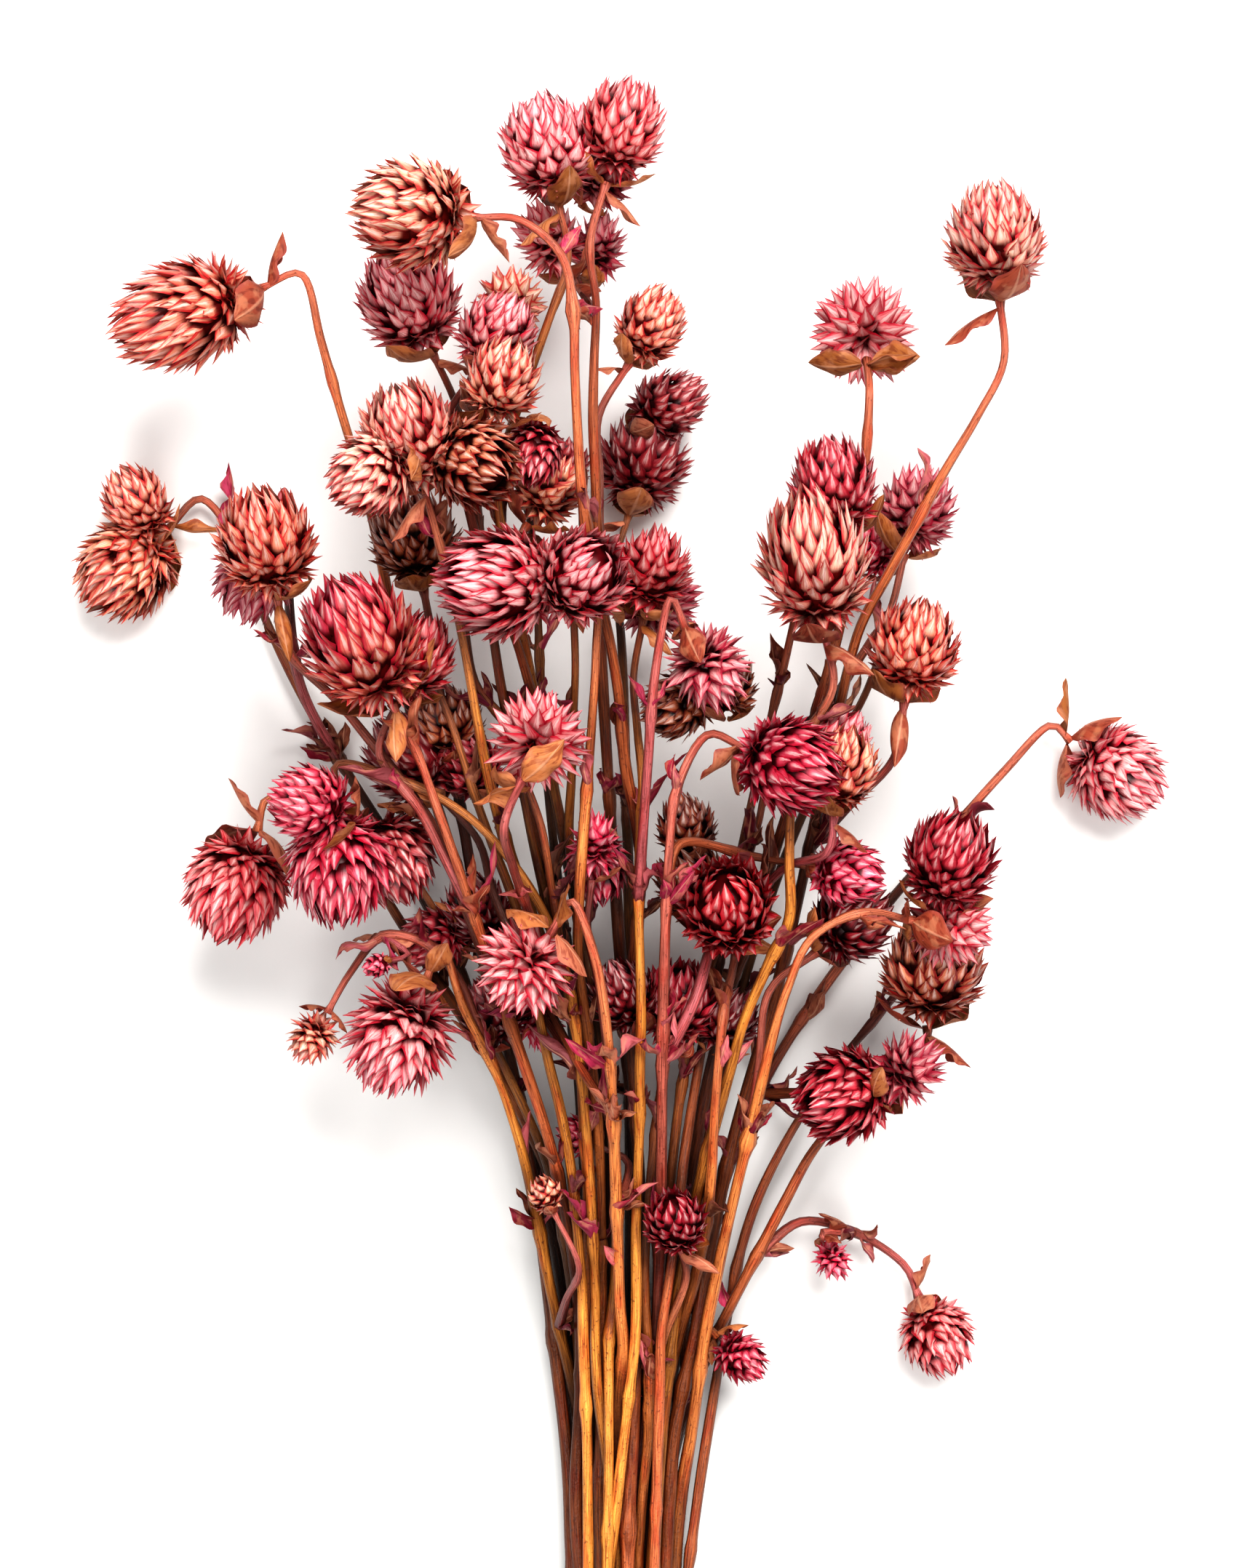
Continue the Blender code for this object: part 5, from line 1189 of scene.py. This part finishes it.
# Leaves: stem, how far along it or TIP, direction the leaf points, length and width
LEAVES = (
    (21, TIP, 190, 13, 6), (22, TIP, 45, 13, 6), (24, TIP, 60, 11, 5), (24, TIP, 290, 14, 6),
    (11, TIP, 60, 11, 6), (25, TIP, 60, 14, 6), (14, TIP, 240, 11, 6), (28, TIP, 280, 10, 6),
    (35, TIP, 315, 11, 7), (38, TIP, 260, 11, 7), (39, TIP, 100, 12, 6), (39, TIP, 255, 11, 7),
    (40, TIP, 235, 10, 6), (41, TIP, 320, 9, 6), (49, TIP, 110, 11, 6), (54, TIP, 320, 11, 7),
    (59, TIP, 20, 10, 6), (70, TIP, 90, 8, 5), (4, TIP, 300, 10, 6), (2, TIP, 200, 10, 6),
    (1, TIP, 330, 10, 5), (5, TIP, 350, 9, 5), (7, TIP, 330, 9, 5), (10, TIP, 170, 7, 4),
    (29, TIP, 290, 11, 6), (31, TIP, 0, 9, 5), (44, TIP, 200, 9, 6), (53, TIP, 60, 9, 5),
    (56, TIP, 350, 10, 6), (61, TIP, 60, 10, 5), (62, TIP, 60, 10, 6), (48, TIP, 120, 9, 5),
    (69, TIP, 330, 9, 5), (19, TIP, 300, 12, 7), (18, TIP, 200, 9, 5), (2, 262, 60, 19, 9),
    (4, 262, 0, 8, 4), (40, 122, 300, 16, 4), (61, 97, 230, 16, 4), (62, 62, 80, 14, 5),
    (67, 22, 40, 14, 4), (53, 76, 70, 13, 4), (24, 160, 200, 10, 4),
    (62, 56, 230, 9, 5), (61, 42, 250, 8, 4), (56, 88, 60, 11, 4),
    (35, 84, 40, 10, 4), (59, 33, 160, 9, 4),
    (14, 84, 150, 9, 4), (22, 70, 30, 9, 4), (40, 60, 340, 10, 4),
)


def leaf_way(facing, tilt, grow, at_tip):
    """The way a leaf leaves its stem: outwards and back under a head, or up along a stem."""
    way = direction(facing, tilt)
    way = way - grow * np.dot(way, grow) * (1.0 if at_tip else 0.6)
    way = way - grow * (0.22 if at_tip else -1.1)
    return way / np.linalg.norm(way)


def leaf_line(root, way, bend, length):
    """The middle of a leaf that leaves its stem one way and curls towards another."""
    return np.array([root + way * length * share + bend * length * 0.35 * share * share
                     for share in (0.0, 0.5, 1.0)])


def leaf_room(foot, line, nearby):
    """The distance from a leaf to the nearest rod, given as two ends and a radius in a row."""
    count = len(nearby)
    p1 = np.repeat(np.array([foot, line[1]]), count, 0)
    p2 = np.repeat(line[1:], count, 0)
    rods = np.tile(nearby, (2, 1))
    q1, q2 = rods[:, :3], rods[:, 3:6]
    s, t = nearest(p1, p2, q1, q2)
    between = p1 + (p2 - p1) * s[:, None] - q1 - (q2 - q1) * t[:, None]
    return (np.linalg.norm(between, axis=1) - rods[:, 6]).min()


def place_leaves(heads, stems):
    """Each leaf of the table, turned until it is clear of the stems and heads beside it."""
    rods = Rods(heads, stems)
    wide = np.maximum(rods.radii[rods.low], rods.radii[rods.high])
    solid = np.column_stack([rods.points[rods.low], rods.points[rods.high], wide])
    is_stem = np.arange(len(solid)) < rods.stem_rods
    leaves, placed = [], []
    for number, along, facing, length, width in LEAVES:
        points = stems[number]["points"]
        at_tip = along == TIP
        place = len(points) - 1 if at_tip else int(np.argmin(np.abs(points[:, 1] - along)))
        grow = points[place] - points[place - 1]
        grow = grow / np.linalg.norm(grow)
        root = points[place] - grow * (0.9 if at_tip else 0.0)
        curl = -grow if at_tip else np.array((0.0, 0.0, -1.0))
        own_stems = is_stem & (rods.group == root_of(stems, number))
        own_head = ~is_stem & (rods.head == number)
        nearby = solid.copy()
        nearby[own_head, 6] -= 0.35 * width
        nearby = np.vstack([nearby[~own_stems]] + placed)
        for turn, tilt in itertools.product(LEAF_TURNS, LEAF_TILTS):
            way = leaf_way(facing + turn, tilt, grow, at_tip)
            line = leaf_line(root, way, curl, length)
            foot = root + way * (stems[number]["radii"][place] + 0.9)
            room = leaf_room(foot, line, nearby) - 0.36 * width
            if room > LEAF_ROOM and line[:, 2].min() > LOWEST_LEAF:
                leaves.append({"stem": number, "line": line, "width": width, "grow": grow,
                               "at_tip": at_tip})
                placed.append(np.hstack([(line[0] + line[1]) / 2, line[2], 0.4 * width])[None])
                break
    return leaves


def make_leaf_finish():
    finish = Finish("withered_leaf", Metallic=0.0, Specular_IOR_Level=0.4)
    side, up = finish.on_sheet()
    across = abs(side * 2.0 - 1.0)
    tone, seed = finish.carried("tone"), finish.carried("seed", "Fac")
    veins = finish.noise(finish.joined(side * 3.0 + up * 2.0, up * 1.5, seed * 53.0), 3.0, 4.0)
    blotches = finish.noise(finish.joined(side * 1.2, up * 1.6, seed * 91.0), 2.0)
    colour = finish.mixed(finish.eased(veins, 0.47, 0.64) * 0.75, tone,
                          finish.multiplied(tone, (0.50, 0.30, 0.30)))
    colour = finish.mixed(finish.eased(blotches, 0.50, 0.62) * 0.35, colour, (0.62, 0.30, 0.17))
    colour = finish.mixed(finish.eased(across, 0.75, 1.0) * 0.35, colour, (0.30, 0.06, 0.07))
    midrib = 1.0 - finish.eased(across, 0.02, 0.12)
    colour = finish.mixed(midrib * 0.4, colour, (0.74, 0.42, 0.28))
    finish.bumpy(veins - midrib * 0.6, 0.6, 0.0003)
    return finish.wear(Base_Color=colour, Roughness=0.5 + veins * 0.2)


leaf_finish = make_leaf_finish()
LEAF_ROWS = 15
LEAF_COLUMNS = np.linspace(-1, 1, 9)
NOT_ZERO = 1e-6             # keeps a direction from vanishing
JOINT_LEAVES = (45.0, 215.0)        # the small leaves at the joints grow between these places along
LEAF_TONES = {"caramel": (190, 122, 76), "ochre": (166, 102, 54), "tan": (182, 112, 86),
              "rust": (150, 72, 50), "crimson": (150, 34, 60), "magenta": (186, 58, 96),
              "rosy": (204, 112, 118)}


def leaf_sheet(line, width, broad, draw, curl, ruffle, twist):
    """The points of a leaf along a line: folded, ruffled at its edges, and rolled in as it dried."""
    line = evenly_spaced(finer(np.array(line), np.ones(len(line)), 0.1)[0], LEAF_ROWS)
    ways = np.gradient(line, axis=0)
    ways /= np.linalg.norm(ways, axis=1)[:, None]
    broad = np.asarray(broad, dtype=float)
    up = np.linspace(0, 1, LEAF_ROWS)
    turn = twist * (up - 0.3)
    flats, overs = [], []
    for way, angle in zip(ways, turn):
        flat = broad - way * np.dot(broad, way)
        flat /= np.linalg.norm(flat)
        over = np.cross(way, flat)
        flats.append(flat * math.cos(angle) + over * math.sin(angle))
        overs.append(over * math.cos(angle) - flat * math.sin(angle))
    shape = np.clip(np.sin(math.pi * up ** 0.8) ** 0.75, 0.03, 1)
    shape[0] = 0.22
    half = (shape * width / 2)[:, None, None]
    columns = LEAF_COLUMNS[None, :, None]
    bend = curl * columns
    sideways = np.sin(bend) / abs(curl)
    raised = (1 - np.cos(bend)) / abs(curl)
    waves = ruffle * np.sin(up[:, None, None] * draw.uniform(9, 15) + draw.uniform(0, 6)
                            + 2.2 * np.sign(columns)) * np.abs(columns) ** 2
    return (line[:, None] + np.array(flats)[:, None] * half * sideways
            + np.array(overs)[:, None] * half * (raised + waves))


def build_leaves(name, sheets):
    """Sheets with their tones, put together as one piece."""
    per_leaf = LEAF_ROWS * len(LEAF_COLUMNS)
    patch = np.stack(np.meshgrid((LEAF_COLUMNS + 1) / 2, np.linspace(0, 1, LEAF_ROWS)), -1)
    faces = []
    for index in range(len(sheets)):
        faces.extend(grid_faces(LEAF_ROWS, len(LEAF_COLUMNS), index * per_leaf))
    places = np.vstack([sheet.reshape(-1, 3) for sheet, _ in sheets])
    tones = np.repeat([tone for _, tone in sheets], per_leaf, 0)
    seeds = np.repeat([(index * 0.37) % 1.0 for index in range(len(sheets))], per_leaf)
    piece = make_piece(name, places, faces, leaf_finish, np.tile(patch.reshape(-1, 2), (len(sheets), 1)),
                       tone=tones, seed=seeds)
    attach(piece, "root")


def crumpled_leaves(line, number, count, draw):
    """Small leaves that dried into twisted strips, at the first of two points of a stem."""
    root, grow = line[0], line[1] - line[0]
    grow = grow / np.linalg.norm(grow)
    # Painted shade: a leaf is painted darker where stems and heads above take the light at its root.
    light = 0.25 + 0.75 * light_on(line[:1], number)[0]
    grown = []
    for _ in range(count):
        aside = draw.normal(0, 1, 3)
        aside = aside - grow * np.dot(aside, grow)
        aside = aside / np.linalg.norm(aside)
        length = draw.uniform(8.0, 18.0)
        way = grow * draw.uniform(0.5, 0.9) + aside * draw.uniform(0.25, 0.6)
        route = [root + way * length * share + draw.normal(0, 0.9, 3) * share
                 for share in (0.0, 0.35, 0.7, 1.0)]
        name = draw.choice(("magenta", "crimson", "rosy", "tan", "rust"))
        sheet = leaf_sheet(route, draw.uniform(3.0, 6.0), np.cross(way, aside) + NOT_ZERO, draw,
                           draw.uniform(1.2, 2.4), draw.uniform(0.3, 0.7), draw.uniform(-3.0, 3.0))
        if sheet[..., 2].min() > LOWEST_LEAF:
            grown.append((sheet, linear(*LEAF_TONES[name]) * draw.uniform(0.6, 1.1) * light))
    return grown


sheets = []
for index, leaf in enumerate(place_leaves(heads, stems)):
    draw = np.random.default_rng(3000 + index)
    line, grow = leaf["line"], leaf["grow"]
    way = line[2] - line[0]
    broad = np.cross(way, grow if leaf["at_tip"] else np.cross(way, grow) + NOT_ZERO)
    brown, red = ("caramel", "ochre", "tan", "rust"), ("magenta", "crimson", "rosy")
    name = draw.choice(brown if leaf["at_tip"] else red)
    sheet = leaf_sheet(line, leaf["width"] * 1.1, broad, draw, draw.uniform(0.9, 1.9),
                       draw.uniform(0.15, 0.4), draw.uniform(-1.2, 1.2))
    sheets.append((sheet, linear(*LEAF_TONES[name]) * draw.uniform(0.8, 1.1)))
for number, stem in stems.items():
    line = finer(stem["points"], stem["radii"], RING_STEP)[0]
    run = lengths_along(line)
    joints = [np.argmin(np.abs(run - place)) for place in joints_of(number, line)]
    joints = [joint for joint in joints if JOINT_LEAVES[0] < line[joint, 1] < JOINT_LEAVES[1]]
    draw = np.random.default_rng(3500 + number)
    if stem["parent"]:
        sheets += crumpled_leaves(line[:2], number, 3, draw)
    for joint in joints:
        sheets += crumpled_leaves(line[joint:joint + 2], number, 2, draw)
build_leaves("withered_leaves", sheets)

# Leafy bracts under the heads
#
# Two broad leafy bracts sit right under each head, opposite each other. They have dried brown
# and papery, and hug the underside of the head or curl away from it.

LEAFY_WIDTH = 0.85          # share of the head's radius

sheets = []
for number, head in heads.items():
    if head["cluster"] == "end":
        continue
    draw = np.random.default_rng(4000 + number)
    turn = turned_to(head["axis"])
    radius, half = head["radius"], head["half"]
    first = draw.uniform(0, math.pi)
    for side in range(2):
        around = first + side * math.pi + draw.normal(0, 0.25)
        spread = draw.uniform(0.9, 1.25)
        line = []
        for share in (0.0, 0.35, 0.7, 1.0):
            polar = math.pi - 0.10 - share * spread
            reach = 0.97 + 0.16 * share * share
            line.append((radius * reach * math.sin(polar) * math.cos(around),
                         radius * reach * math.sin(polar) * math.sin(around),
                         half * reach * math.cos(polar)))
        line = np.array(line) @ turn.T + head["centre"]
        broad = turn @ np.array((-math.sin(around), math.cos(around), 0.0))
        name = draw.choice(("caramel", "ochre", "tan", "rust", "caramel"))
        sheet = leaf_sheet(line, radius * LEAFY_WIDTH * draw.uniform(0.8, 1.15), broad, draw,
                           draw.uniform(-1.1, -0.4), draw.uniform(0.08, 0.25), draw.uniform(-0.4, 0.4))
        sheets.append((sheet, linear(*LEAF_TONES[name]) * draw.uniform(0.75, 1.1)))
build_leaves("leafy_bracts", sheets)

# Surface, light and camera
#
# A smooth white surface under soft studio light from beyond the heads. The camera looks straight
# down, at a distance that gives the bunch the size it has in the picture.

PICTURE_HEIGHT = 0.345      # what the picture takes in, at the height where most heads are
EYE = Vector((0.0015, 0.0435, 0.8494))
SEEN_AT = 0.0544            # that height


def make_surface():
    finish = Finish("white_surface", Roughness=0.9)
    place = finish.node("ShaderNodeTexCoord", output="Object")
    shade = finish.noise(place, 4.0, 2.0)
    colour = finish.mixed(shade, (0.86, 0.86, 0.86), (0.90, 0.90, 0.895))
    return finish.wear(Base_Color=colour)


mesh = bpy.data.meshes.new("surface")
mesh.from_pydata([(-3, -3, 0), (3, -3, 0), (3, 3, 0), (-3, 3, 0)], [], [(0, 1, 2, 3)])
mesh.materials.append(make_surface())
surface = bpy.data.objects.new("surface", mesh)
bpy.context.scene.collection.objects.link(surface)


def add_softbox(name, place, target, size, power, colour):
    light = bpy.data.lights.new(name, "AREA")
    light.size, light.energy, light.color = size, power, colour
    thing = bpy.data.objects.new(name, light)
    thing.location = place
    thing.rotation_euler = (Vector(target) - Vector(place)).to_track_quat("-Z", "Y").to_euler()
    bpy.context.scene.collection.objects.link(thing)


add_softbox("key_light", (0.30, 0.80, 1.45), (0, 0.03, 0.04), 0.8, 28.0, (1.0, 0.985, 0.955))
add_softbox("overhead_light", (-0.15, -0.30, 1.5), (0, 0.03, 0.0), 0.9, 10.5, (1.0, 0.985, 0.96))
world = bpy.data.worlds.new("studio")
world.use_nodes = True
glow = world.node_tree.nodes["Background"].inputs
glow["Color"].default_value = (1.0, 1.0, 1.0, 1.0)
glow["Strength"].default_value = 0.25
bpy.context.scene.world = world
bpy.context.scene.view_settings.view_transform = "Standard"
bpy.context.scene.view_settings.look = "High Contrast"

lens = bpy.data.cameras.new("camera")
lens.sensor_width = 36.0
lens.lens = 36.0 * (EYE.z - SEEN_AT) / PICTURE_HEIGHT
camera = bpy.data.objects.new("camera", lens)
camera.location = EYE
bpy.context.scene.collection.objects.link(camera)
bpy.context.scene.camera = camera
